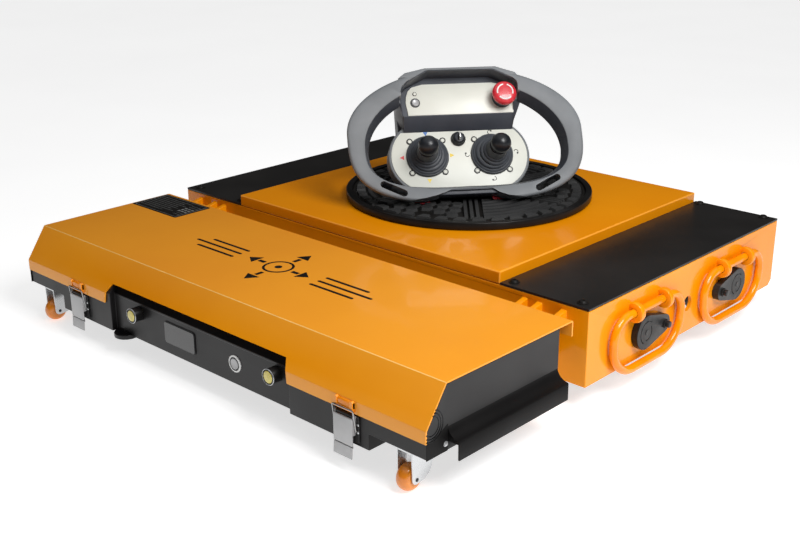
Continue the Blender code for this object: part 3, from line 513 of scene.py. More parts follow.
def release_levers():
    for end, away in (("front", -1), ("rear", 1)):
        low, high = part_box(f"release_lever_{end}")
        knob = in_mm(middle(f"index_knob_{end}"))
        x1 = high.x / MM
        x0 = x1 - 9.0
        py = knob.y + away * 40.6
        pz = knob.z
        lean = 0 if away < 0 else 180
        outline = arc(py, pz, 22.5, lean + 75, lean + 285, 40) + arc(knob.y, knob.z, 12, lean - 75,
                                                                     lean + 75, 24)
        body = prism(outline, x0, x1, "X")
        cuts = []
        for r, start, span in ((14.5, 140, 189), (10.5, -10, 135)):
            groove = [(r - 0.65, -1.9), (r + 0.65, -1.9), (r + 0.65, 1), (r - 0.65, 1)]
            cuts.append(turned(groove, 40, (x1 + 1, py, pz), "X", span, start))
        body = carved(body, *cuts)
        piece(f"lever_{end}_shown", body, "moulded", f"lever_{end}", (f"release_lever_{end}",), bevel=0.8,
              segments=3)
        boss = rod(6, x0 - 14, x0 + 1, (0, py, pz), "X", 40)
        hub = rod(3.6, x1 - 0.4, x1 + 0.6, (0, py, pz), "X", 40, 0.3)
        piece(f"lever_{end}_boss", together([boss, hub]), "moulded", f"lever_{end}")
        collar = soften(prism(hexagon(knob.y, knob.z, 6.1), x1 + 0.5, x1 + 3.0, "X"), 0.35, 2)
        stem = [(0, x0 + 0.5), (2.4, x0 + 0.5), (2.4, x1 - 1), (3.2, x1 - 1), (3.2, x1 + 2), (4.3, x1 + 3)]
        stem += [(4.4, x1 + 6.9), (3.9, x1 + 7.9), (3.0, x1 + 8.2), (0, x1 + 8.2)]
        tip = turned(stem, 40, (0, knob.y, knob.z), "X")
        piece(f"knob_{end}_shown", together([collar, tip]), "moulded", f"knob_{end}", (f"index_knob_{end}",))


# ---------------------------------------------------------------- wheels
def barrel(turn, slant, centre):
    """One roller and its end caps, skewed 45 degrees across the rim."""
    half = 24.0
    profile = [(0, -half)]
    for k in range(13):
        h = -half + 2 * half * k / 12
        profile.append((5.2 + 3.2 * (1 - (h / half) ** 2), h))
    profile.append((0, half))
    shape = turned(profile, 24)
    shape.transform(turning(-ROLLER_SLANT * slant, "Y") @ turning(90, "Y"))
    shape.transform(turning(90, "X"))
    shape.transform(shift((0, 0, -41.5)))
    shape.transform(shift(centre) @ Matrix.Rotation(turn, 4, "X"))
    return shape


def wheels():
    for end in ENDS:
        side = 1 if "right" in end else -1
        centre = in_mm(middle(f"roller_cage_{end}"))
        slant = 1 if end in ("right_front", "left_rear") else -1
        rollers = [barrel(2 * math.pi * k / ROLLERS, slant, centre) for k in range(ROLLERS)]
        piece(f"rollers_{end}", together(rollers), "roller", f"wheel_{end}", (f"roller_cage_{end}",))
        rims = []
        for s in (-1, 1):
            a, b = sorted((centre.x + s * 20.5, centre.x + s * 23))
            rims.append(turned([(33.4, a), (46.5, a), (47.2, a + 0.6), (47.2, b - 0.6), (46.5, b),
                                (33.4, b)], 64,
                               (0, centre.y, centre.z), "X"))
            a, b = sorted((centre.x + s * 22.8, centre.x + s * 23.4))
            for k in range(ROLLERS):
                turn = 2 * math.pi * (k + 0.5) / ROLLERS
                spot = (0, centre.y + 40 * math.sin(turn), centre.z + 40 * math.cos(turn))
                rims.append(rod(2.6, a, b, spot, "X", 16, 0.2))
        piece(f"rims_{end}", together(rims), "steel", f"wheel_{end}")
        inner = centre.x - side * 106
        shaft = rod(8, *sorted((inner, centre.x - side * 22)), (0, centre.y, centre.z), "X", 40)
        plates = [shaft]
        for s in (-1, 1):
            a, b = sorted((centre.x + s * 20, centre.x + s * 23))
            plates.append(rod(33, a, b, (0, centre.y, centre.z), "X", 64, 0.7))
        plates.append(rod(14, centre.x - 20.5, centre.x + 20.5, (0, centre.y, centre.z), "X", 48))
        piece(f"hub_{end}", together(plates), "alloy", f"wheel_{end}", (f"wheel_hub_{end}",))


# ---------------------------------------------------------------- turntable
def turntable():
    low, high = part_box("turntable_plate")
    c = in_mm((low + high) / 2)
    radius = (high.x - low.x) / 2 / MM
    top = high.z / MM
    dish = [(0, 120.4), (33, 120), (34, 121), (34, 146.1), (radius - 1, 146.1), (radius, 147)]
    dish += [(radius, top - 1.3), (radius - 0.5, top - 0.4), (radius - 1.4, top), (radius - 8.6, top)]
    dish += [(radius - 9.3, top - 0.5), (radius - 9.5, 150.1), (0, 150.1)]
    piece("turntable_dish", turned(dish, 160, (c.x, c.y, 0)), "black", "turntable", ("turntable_plate",))
    pad = [(0, 150.2), (172.6, 150.2), (172.9, 152.6), (171.6, 153.4), (168.4, 153.4), (167.6, 151.8),
           (0, 151.8)]
    piece("pad_base", turned(pad, 160, (c.x, c.y, 0)), "ink", "turntable", ("rubber_pad",))
    tread = pad_tread()
    tread.transform(shift((c.x, c.y, 0)))
    piece("pad_tread", tread, "rubber", "turntable")


def block(outline, low, high, draft):
    """A small raised block whose sides slope in by draft."""
    bm = bmesh.new()
    mid = sum((Vector(p) for p in outline), Vector((0, 0))) / len(outline)
    levels = []
    for z, inset in ((low, 0.0), (high - 0.5, draft * 0.75), (high, draft)):
        ring = []
        for p in outline:
            q = Vector(p)
            toward = (mid - q).normalized()
            q = q + toward * inset
            ring.append(bm.verts.new((q.x, q.y, z)))
        levels.append(ring)
    count = len(outline)
    for a, b in zip(levels, levels[1:]):
        for i in range(count):
            j = (i + 1) % count
            bm.faces.new((a[i], a[j], b[j], b[i]))
    bm.faces.new(levels[0])
    bm.faces.new(levels[-1])
    return finished(bm)


def sector_of(angle):
    """Even sectors carry hexagons and odd ones carry curved ribs."""
    return int(((angle + RIBS_START) % 360.0) // 60.0)


def pad_tread():
    low, high = TREAD_LOW, TREAD_HIGH
    shapes = []
    count = 40
    for k in range(count):
        mid = 360.0 * k / count
        half = 3.5
        outer, inner = 167.6, 153.5
        outline = []
        for r, t in ((inner, -half * 0.66), (outer, -half), (outer, half), (inner, half * 0.66)):
            turn = math.radians(mid + t)
            outline.append((r * math.cos(turn), r * math.sin(turn)))
        shapes.append(block(outline, low, high, 1.5))
    pitch = 23.0
    for row in range(-9, 10):
        for column in range(-9, 10):
            x = pitch * (column + 0.5 * (row % 2))
            y = pitch * 0.866 * row
            r = math.hypot(x, y)
            angle = math.degrees(math.atan2(y, x))
            inside = (angle + RIBS_START) % 60.0
            if r > 141.5 or r < 36 or sector_of(angle) % 2:
                continue
            edge = min(inside, 60.0 - inside)
            if math.sin(math.radians(edge)) * r < 17.0:
                continue
            shapes.append(block(hexagon(x, y, 10.6, 30), low, high, 2.2))
    for k in range(6):
        base = math.radians(60.0 * k - RIBS_START)
        for aside in (-8.2, 0.0, 8.2):
            along = Vector((math.cos(base), math.sin(base)))
            across = Vector((-along.y, along.x))
            start, stop = 34.0, 151.0
            corners = [along * start + across * (aside - 2.4), along * stop + across * (aside - 2.4),
                       along * stop + across * (aside + 2.4), along * start + across * (aside + 2.4)]
            shapes.append(block([tuple(p) for p in corners], low, high, 1.0))
    for k in range(3):
        start = 60.0 * (2 * k + 1) - RIBS_START
        for n in range(8):
            r = 54.0 + 13.4 * n
            margin = math.degrees(math.asin(16.0 / r))
            profile = [(r - 4.0, low), (r + 4.0, low), (r + 2.8, high - 0.3), (r + 2.3, high),
                       (r - 2.3, high)]
            profile.append((r - 2.8, high - 0.3))
            if 60.0 - 2 * margin > 4:
                shapes.append(turned(profile, 28, (0, 0, 0), "Z", 60.0 - 2 * margin, start + margin))
    return together(shapes)


# ---------------------------------------------------------------- box
def bent_sheet(line, radius, thickness, steps=6):
    """The section of a sheet bent along a line, always to the same side, with the line as its outer face."""
    points = [Vector(p) for p in line]
    outer, inner = [], []

    def both(place, inward):
        outer.append(tuple(place))
        inner.append(tuple(place + inward * thickness))

    first = (points[1] - points[0]).normalized()
    both(points[0], Vector((first.y, -first.x)))
    for before, corner, after in zip(points, points[1:], points[2:]):
        back, on = (before - corner).normalized(), (after - corner).normalized()
        half = back.angle(on) / 2
        centre = corner + (back + on).normalized() * (radius / math.sin(half))
        start = (corner + back * (radius / math.tan(half)) - centre) / radius
        sweep = math.pi - 2 * half
        for k in range(steps + 1):
            turn = -sweep * k / steps
            out = Vector((start.x * math.cos(turn) - start.y * math.sin(turn),
                          start.x * math.sin(turn) + start.y * math.cos(turn)))
            both(centre + out * radius, -out)
    last = (points[-1] - points[-2]).normalized()
    both(points[-1], Vector((last.y, -last.x)))
    return outer, inner


def lid():
    half, fold, sill = LID_HALF, LID_FOLD, 96.0
    line = [(LID_FRONT, 69.1), (LID_FRONT, fold), (0, LID_TOP), (218.3, LID_TOP), (218.3, 108.6)]
    outer, inner = bent_sheet(line, BEND, SHEET)
    low = 8                 # the row of the section at the top of the notch
    for line in (outer, inner):
        (y0, z0), (y1, z1) = line[low - 1], line[low]
        line.insert(low, (y0 + (y1 - y0) * (sill - z0) / (z1 - z0), sill))

    def notch(z):
        """The two ends of the notch for the front panel at a height."""
        if z <= fold:
            return -192 + (z - 60) * 4.6 / 24, 172 - (z - 60) * 2 / 24
        return -187.4 + (z - fold) * 7.4 / 12, 170 - (z - fold) * 7 / 12

    bm = bmesh.new()
    rows = []
    for line in (outer, inner):
        side = []
        for k, (y, z) in enumerate(line):
            xs = (-half, *notch(z), half) if k <= low else (-half, half)
            side.append([bm.verts.new((x, y, z)) for x in xs])
        rows.append(side)
    last = len(outer) - 1
    for side in rows:
        for k in range(last):
            a, b = side[k], side[k + 1]
            if k < low:
                bm.faces.new((a[0], a[1], b[1], b[0]))
                bm.faces.new((a[2], a[3], b[3], b[2]))
            else:
                bm.faces.new((*a, b[-1], b[0]))
    for k in range(last):
        for m in (0, 1, 2, 3) if k < low else (0, -1):
            near, far = rows[0], rows[1]
            bm.faces.new((near[k][m], near[k + 1][m], far[k + 1][m], far[k][m]))
    for k, m, n in ((0, 0, 1), (0, 2, 3), (low, 1, 2), (last, 0, 1)):
        bm.faces.new((rows[0][k][m], rows[0][k][n], rows[1][k][n], rows[1][k][m]))
    bmesh.ops.recalc_face_normals(bm, faces=bm.faces)
    flat_faces(piece("lid_sheet", bm, "orange", "lid", ("box_lid",)))
    # A narrow strip of lighter orange along the bend at the top of the lid's front: a painted highlight where
    # the bend catches the light.
    crease = outer[low + 2:low + 6]
    band = [(y - 0.04, z + 0.05) for y, z in crease] + [(y + 0.3, z - 0.3) for y, z in crease[::-1]]
    piece("lid_crease_painted_highlight", prism(band, -half, half, "X"), "crease", "lid")
    catches = []
    for name, _ in BOTH:
        x = in_mm(middle(f"latch_lever_{name}")).x
        catch = prism([(-29.4, 70.8), (-29.4, 83), (-32, 83), (-33.3, 81.5), (-33.3, 70.8)], x - 14, x + 14,
                      "X")
        soften(catch, 0.5, 2, 30)
        catches.append(catch)
    piece("lid_catches", together(catches), "ring_orange", "lid")
    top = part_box("box_lid")[1].z / MM
    ears = []
    for name, _ in BOTH:
        x = in_mm(middle(f"latch_lever_{name}")).x
        for t in (-11.8, 11.8):
            tab = prism([(b + x + t, a + 78.6) for a, b in stadium(3.2, 2.2, 8)], -34.1, -29.6, "Y")
            soften(tab, 0.7, 3, 50)
            ears.append(tab)
    piece("catch_ears", together(ears), "ring_orange", "lid")
    piece("lid_motif", lid_motif(top), "ink", "lid")
    plate = prism(rounded(-378.2, -270.0, 146.8, 211.6, 3.0), top, top + 0.35)
    piece("rating_plate", plate, "ink", "lid")
    rules = []
    for x0, x1, y in ((-374, -274, 208), (-374, -274, 150.2), (-374, -300, 201), (-374, -312, 195),
                      (-374, -300, 189),
                      (-374, -312, 183), (-374, -304, 177), (-374, -312, 171), (-374, -300, 165),
                      (-374, -318, 159),
                      (-296, -276, 198), (-296, -276, 192), (-292, -276, 165), (-292, -276, 159)):
        rules.append(box(x0, x1, y - 0.35, y + 0.35, top + 0.3, top + 0.45))
    for x in (-374, -274):
        rules.append(box(x - 0.5, x + 0.5, 150.2, 208, top + 0.3, top + 0.45))
    for k in range(3):
        for m in range(3):
            rules.append(box(-296 + 7.2 * k, -291.6 + 7.2 * k, 170 + 6.4 * m, 174 + 6.4 * m, top + 0.3,
                             top + 0.45))
    piece("rating_plate_rules", together(rules), "rule", "lid")


def lid_motif(top):
    """A plain pictogram: a ring with arrows in four directions between two pairs of bars."""
    low, high = top, top + 0.2
    shapes = [turned([(17.5, low), (21.0, low), (21.0, high), (17.5, high)], 72, (0, 110, 0))]
    shapes.append(turned([(0, low), (5, low), (5, high), (0, high)], 40, (0, 110, 0)))
    for k in range(4):
        turn = shift((0, 110, 0)) @ Matrix.Rotation(math.pi / 2 * k, 4, "Z")
        for outline in ([(26, -3), (38, -3), (38, 3), (26, 3)], [(41, -11), (57, 0), (41, 11)]):
            shape = prism(outline, low, high)
            shape.transform(turn)
            shapes.append(shape)
    for s in (-1, 1):
        for y, x0, x1 in ((124, 74, 150), (110, 74, 168), (96, 74, 150)):
            x = sorted((s * x0, s * x1))
            shapes.append(prism(moved(stadium((x[1] - x[0]) / 2 - 2.2, 2.2, 10), (x[0] + x[1]) / 2, y), low,
                                high))
    return together(shapes)


def tray():
    right = LID_HALF
    softened("box_tray", "graphite", "box", 0.8)
    for name, s in BOTH:
        bend = arc(396.0, 81.0, 16.4, 182, 262, 24)
        outline = [(379.2, 81.5), *bend, (395.4, 64.4), (396.0, 63.6), (396.1, 44.0), (395.8, 43.3),
                   (395.2, 43.2)]
        outline += [(395.2, 61.2), (379.2, 61.2)]
        # The side skirts take the darker copy of the graphite: painted shade on their shadowed faces.
        skirt = prism([(s * a, b) for a, b in outline], 3.2, 191.6, "Y")
        piece(f"side_skirt_{name}", skirt, "skirt", "box", angle=50)
        # A thin near-black sheet on the lower front corner of each side wall: painted shade where the wall
        # falls in deep shadow.
        shade = [(-29.6, 50.2), (-29.6, 68.6), (-10.7, 73.7), (3.2, 80.5), (3.2, 50.2)]
        plate = prism(shade, *sorted((s * 379.9, s * 380.4)), "X")
        piece(f"side_painted_shade_{name}", plate, "skirt", "box", bevel=0.15)
    grille = []
    for r in (10.9, 14.1, 17.3):
        shown = []
        for degree in range(-180, 181, 2):
            y = -21.4 + r * math.cos(math.radians(degree))
            z = 86.7 + r * math.sin(math.radians(degree))
            edge = LID_FRONT - max(0.0, z - LID_FOLD) * LID_FRONT / (LID_TOP - LID_FOLD)
            if y > edge + 0.8 and z > 66:
                shown.append(degree)
        path = []
        for k in range(41):
            turn = math.radians(shown[0] + (shown[-1] - shown[0]) * k / 40)
            path.append((right - 0.2, -21.4 + r * math.cos(turn), 86.7 + r * math.sin(turn)))
        grille.append(swept(path, 0.75, 10, False))
    piece("fan_grille_grooves", together(grille), "gloss", "box")
    bolt = [(0, right), (3.1, right), (3.1, right + 0.6), (2.0, right + 0.8), (1.8, right + 1.9),
            (1.2, right + 2.3)]
    bolt.append((0, right + 2.3))
    piece("side_rivet", turned(bolt, 28, (0, -0.3, 59.1), "X"), "zinc", "box")
    softened("battery_pack", "battery", "box", 0.6)
    straps = [box(x - 14, x + 14, 22.6, 169.4, 60, 105.2) for x in (-120, 120)]
    for strap in straps:
        soften(strap, 1.2, 2)
    posts = [rod(7, 103, 112, (x, 60, 0), "Z", 32, 1.0) for x in (-40, 40)]
    piece("battery_straps", together(straps), "rubber", "box")
    piece("battery_posts", together(posts), "zinc", "box")


def panel():
    # A near-black strip laid along the slope above the front panel, under the lid's notch: a painted shadow
    # in the gap between lid and panel.
    band = prism([(-19.8, 83.4), (-10.8, 96.4), (-11.2, 96.8), (-20.3, 83.7)], -186.5, 164.5, "X")
    piece("panel_slope_painted_shadow", band, "skirt", "box", bevel=0.1)
    lip = prism([(-20.4, 80.6), (-20.8, 81.0), (-20.9, 83.0), (-20.0, 83.5)], -180, 162.5, "X")
    piece("panel_top_fold", lip, "graphite", "box", bevel=0.12)
    for name, _ in BOTH:
        low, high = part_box(f"lamp_bezel_{name}")
        c = in_mm((low + high) / 2)
        front = in_mm(low).y
        back = in_mm(high).y
        barrel_side = [(8.6, back), (9.5, back), (9.4, front + 1.4), (9.2, front + 0.5), (8.6, front + 0.5)]
        piece(f"lamp_{name}_barrel", turned(barrel_side, 64, (c.x, 0, c.z), "Y"), "black", "box",
              (f"lamp_bezel_{name}",))
        rim = [(9.35, front + 1.5), (9.95, front + 1.3), (10.05, front + 0.5), (9.75, front + 0.1),
               (9.35, front + 0.2)]
        piece(f"lamp_{name}_rim", turned(rim, 64, (c.x, 0, c.z), "Y"), "zinc", "box")
        seal = [(7.7, front + 0.1), (9.4, front + 0.1), (9.4, front + 3), (7.7, front + 3)]
        piece(f"lamp_{name}_seal", turned(seal, 64, (c.x, 0, c.z), "Y"), "gloss", "box")
        face = in_mm(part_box(f"lamp_button_{name}")[0]).y
        lens = [(0, face + 0.1), (5.4, face + 0.15), (7.0, face + 0.5), (7.75, face + 1.3), (7.8, -14),
                (0, -14)]
        piece(f"lamp_{name}_lens", turned(lens, 64, (c.x, 0, c.z), "Y"), "lens", f"lamp_{name}",
              (f"lamp_button_{name}",))
    c = in_mm(middle("power_button"))
    face = in_mm(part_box("power_button")[0]).y
    cap = [(0, face + 0.25), (5.2, face + 0.2), (5.6, face), (6.5, face + 0.1), (7, face + 0.8), (7, -14),
           (0, -14)]
    piece("power_cap", turned(cap, 64, (c.x, 0, c.z), "Y"), "plate", "power", ("power_button",))
    rim = [(8.3, face + 2.2), (8.4, face + 0.9), (8.8, face + 0.5), (10.3, face + 0.5), (10.7, face + 1.0)]
    rim.append((10.7, face + 2.2))
    piece("power_rim", turned(rim, 72, (c.x, 0, c.z), "Y"), "white", "box")
    gap = [(6.9, face + 0.4), (8.4, face + 0.4), (8.4, face + 2.2), (6.9, face + 2.2)]
    piece("power_gap", turned(gap, 64, (c.x, 0, c.z), "Y"), "gloss", "box")
    low, high = box_mm("display")
    screen = prism(rounded(low.x + 1.2, high.x - 1.2, low.z + 1.2, high.z - 1.2, 3.4), low.y + 0.5, high.y,
                   "Y")
    piece("display_glass", screen, "screen", "box", ("display",), bevel=0.3)
    frame_ring = prism(rounded(low.x, high.x, low.z, high.z, 4.4), low.y + 1.2, high.y, "Y")
    piece("display_frame", frame_ring, "gloss", "box", bevel=0.3)


def latches():
    for name, _ in BOTH:
        low, high = box_mm(f"latch_lever_{name}")
        x = (low.x + high.x) / 2
        half = 14.5
        upper = [(-35.4, 31.4), (-35.4, 62.5), (-35.0, 64.0), (-34.0, 64.5), (-34.0, 31.4)]
        lower = [(-36.6, 16.7), (-35.5, 30.5), (-34.1, 30.5), (-35.0, 17.6), (-35.4, 16.6)]
        back = [(-34.3, 29.0), (-34.3, 33.0), (-33.4, 33.0), (-33.4, 29.0)]
        body = f"latch_{name}"
        plates = []
        for shape, inset in ((upper, 0.0), (lower, 0.35)):
            plates.append(soften(prism(shape, x - half + inset, x + half - inset, "X"), 0.4, 2, 40))
        flange = [(-34.4, 44), (-34.4, 63), (-33, 67.0), (-30.6, 67.0), (-29.2, 64.5), (-29.2, 47),
                  (-30.5, 44)]
        for t in (-1, 1):
            ends = sorted((x + t * 13, x + t * 14.5))
            plates.append(soften(prism(flange, ends[0], ends[1], "X"), 0.3, 2, 40))
            plates.append(rod(1.9, *sorted((x + t * 14.3, x + t * 15.2)), (0, -31.0, 65.3), "X", 24, 0.3))
        piece(f"latch_{name}_plate", together(plates), "plate", body, (f"latch_lever_{name}",))
        piece(f"latch_{name}_fold", prism(back, x - half + 0.6, x + half - 0.6, "X"), "black", body)
        y = -31.0
        leg = 15.9
        route = [(x - 12.9, y, 48), (x - leg + 1, y, 48), (x - leg, y, 49)]
        route += [(x - leg, -34.8, 72.6), (x - leg + 0.5, -34.9, 73.6), (x - leg + 1.5, -34.9, 74)]
        route += [(2 * x - a, b, c) for a, b, c in reversed(route)]
        piece(f"bail_{name}_wire", swept(route, 0.9, 16, False), "wire", f"bail_{name}",
              (f"latch_bail_{name}",))
        plate = soften(prism(rounded(x - 19.5, x + 19.5, 35, 66.5, 2.0), -29.4, -28.0, "Y"), 0.4, 2, 50)
        piece(f"latch_{name}_mount", plate, "graphite", "box")
        rivets = []
        for t in (-17.4, 17.4):
            for z in (47.5, 56.5):
                rivets.append(turned([(0, -30.2), (1.0, -30.1), (1.5, -29.6), (1.6, -29.3), (0, -29.3)], 24,
                                     (x + t, 0, z), "Y"))
        piece(f"latch_{name}_rivets", together(rivets), "zinc", "box")


def casters():
    for name, _ in BOTH:
        low, high = box_mm(f"caster_wheel_{name}")
        c = (low + high) / 2
        top = in_mm(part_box(f"caster_fork_{name}")[1]).z
        r = c.z
        tread = [(4.4, -8.3), (9.6, -8.7), (10.4, -8.4)]
        for k in range(15):
            turn = math.radians(-72 + 144 * k / 14)
            tread.append((r - 6.0 + 6.0 * math.cos(turn), 7.9 * math.sin(turn) / math.sin(math.radians(72))))
        tread += [(10.4, 8.4), (9.6, 8.7), (4.4, 8.3)]
        profile = [(a, c.x + b) for a, b in tread]
        piece(f"caster_{name}_tread", turned(profile, 72, (0, c.y, c.z), "X"), "urethane",
              f"caster_tread_{name}",
              (f"caster_wheel_{name}",))
        hub = rod(4.6, c.x - 9.1, c.x + 9.1, (0, c.y, c.z), "X", 40)
        piece(f"caster_{name}_hub", hub, "slate", f"caster_tread_{name}")
        forks = []
        crown = prism(rounded(c.x - 11.5, c.x + 11.5, -24.8, 8.8, 3.0), top - 3.6, top - 1.4)
        soften(crown, 0.5, 2, 40)
        forks.append(crown)
        forks.append(rod(9.5, top - 1.6, top - 0.1, (c.x, -5, 0), "Z", 48, 0.3))
        cheek = [(-24.8, top - 1.6), (8.8, top - 1.6), (7.6, 36), (5.3, 24), (1.8, 17.5), (-2.8, 13.2)]
        cheek += [(-6.4, 11.5), (-10, 11), (-18.3, 10.2), (-21.3, 11), (-23.5, 12.8), (-24.7, 16)]
        for t in (-1, 1):
            ends = sorted((c.x + t * 9.6, c.x + t * 11.4))
            forks.append(soften(prism(cheek, ends[0], ends[1], "X"), 0.35, 2, 40, 1.2))
        piece(f"caster_{name}_fork", together(forks), "zinc", f"caster_{name}", (f"caster_fork_{name}",))
        axle = [rod(2.3, *sorted((c.x + t * 11.2, c.x + t * 12.0)), (0, c.y, c.z), "X", 6, 0.2) for t in (-1,
                                                                                                          1)]
        piece(f"caster_{name}_axle", together(axle), "black", f"caster_{name}")


def fan():
    low, high = box_mm("fan_frame")
    c = (low + high) / 2
    rim = [(15.7, low.x), (17.3, low.x), (17.6, low.x + 0.6), (17.6, high.x - 0.2), (15.7, high.x - 0.2)]
    shapes = [turned(rim, 64, (0, c.y, c.z), "X")]
    for k in range(4):
        spoke = box(high.x - 2.5, high.x - 0.4, -0.9, 0.9, 5.0, 16.4)
        spoke.transform(shift((0, c.y, c.z)) @ Matrix.Rotation(math.pi / 2 * k + 0.5, 4, "X"))
        shapes.append(spoke)
    shapes.append(rod(6, high.x - 2.6, high.x - 0.3, (0, c.y, c.z), "X", 32, 0.4))
    piece("fan_shroud", together(shapes), "black", "box", ("fan_frame",))
    blades = [rod(5.5, high.x - 11, high.x - 4, (0, c.y, c.z), "X", 40, 0.8)]
    for k in range(7):
        blade = box(-3.0, 3.0, -0.45, 0.45, 4.8, 14.1)
        blade.transform(turning(35, "Z"))
        blade.transform(shift((high.x - 7.5, c.y, c.z)) @ Matrix.Rotation(2 * math.pi * k / 7,
                                                                                       4, "X"))
        blades.append(blade)
    piece("fan_blades", together(blades), "moulded", "fan", ("fan_rotor",))


# ---------------------------------------------------------------- hand control
def held(name, shape, mat, replaces=(), body="remote", **rest):
    """A piece written in the hand control's own axes."""
    return piece(name, shape, mat, body, replaces, REMOTE, **rest)


def loop_point(reach, centre, above, below, power, turn):
    """A half ellipse above and a squarer half below, round the loop's middle."""
    c, s = math.cos(turn), math.sin(turn)
    if s >= 0:
        return Vector((LOOP_U + reach * c, centre + above * s))
    k = 2 / power
    return Vector((LOOP_U + reach * math.copysign(abs(c) ** k, c), centre - below * abs(s) ** k))


def loop_skin(section_of, steps=176):
    """Join the sections that a function gives round the loop into one smooth skin."""
    bm = bmesh.new()
    rings = []
    for k in range(steps):
        turn = 2 * math.pi * k / steps
        inner = loop_point(147, 0, 99, 64.5, 3.0, turn)
        outer = loop_point(171.3, LOOP_V, 98.5, 106, 3.1, turn)
        across = outer - inner
        width = across.length
        across.normalize()
        ring = []
        for d, w in section_of(width):
            p = inner + across * d
            ring.append(bm.verts.new((p.x, p.y, w)))
        rings.append(ring)
    for k in range(steps):
        quads(bm, rings[k], rings[(k + 1) % steps])
    return finished(bm)


def band_section(width):
    """The steering-wheel band: a flat front with rounded edges and a back that tucks in."""
    high, round_r = 46.0, 4.2
    section = [(0.0, 26.0), (0.0, high - 1.4), (0.5, high - 0.5), (1.5, high), (width - round_r - 1.0, high)]
    for m in range(1, 7):
        t = math.radians(90 - 90 * m / 6)
        section.append((width - round_r + round_r * math.cos(t), high - round_r + round_r * math.sin(t)))
    section += [(width - 1.0, 36.0), (width - 4.5, 28.0), (width - 7.0, 25.0), (width - 9.0, 24.0),
                (1.5, 24.0)]
    return section


def chamfer_section(width):
    """The dark lining inside the band, sloping down to the hole."""
    return [(0.3, 45.3), (-7.5, 29.0), (-7.9, 27.5), (-7.5, 24.6), (-6.8, 24.3), (3.0, 24.3), (3.0, 45.3)]


def grip_slot(side, half=15.5, radius=5.1, low=10):
    slot = prism(stadium(half, radius, 10), low, 60)
    slot.transform(Matrix.Rotation(side * math.radians(27), 4, "Z"))
    slot.transform(shift((LOOP_U + side * 111, -62, 0)))
    return slot


def hood_opening(shrink=0.0):
    rim = [(-82, 57.2), (-85.5, 84), (-85.4, 88), (-82.5, 94), (-76, 100.5), (-46.3, 116.3), (-42, 117.0)]
    rim += [(52, 116.2), (56, 115.0), (82, 101.5), (86.6, 96), (87.6, 91), (87.2, 84), (83.5, 57.2)]
    middle_u, middle_v = 1.0, 88.0
    points = []
    for u, v in rim:
        reach = math.hypot(u - middle_u, v - middle_v)
        k = 1 - shrink / reach
        points.append((middle_u + (u - middle_u) * k, middle_v + (v - middle_v) * k))
    return points


def below_base(depth):
    shape = box(-200, 200, -150, 250, -depth, 0)
    shape.transform(Matrix.Rotation(-(math.pi / 2 - TILT), 4, "X"))
    shape.transform(shift(Vector((0, -math.cos(TILT), -math.sin(TILT))) * 49.85))
    return shape


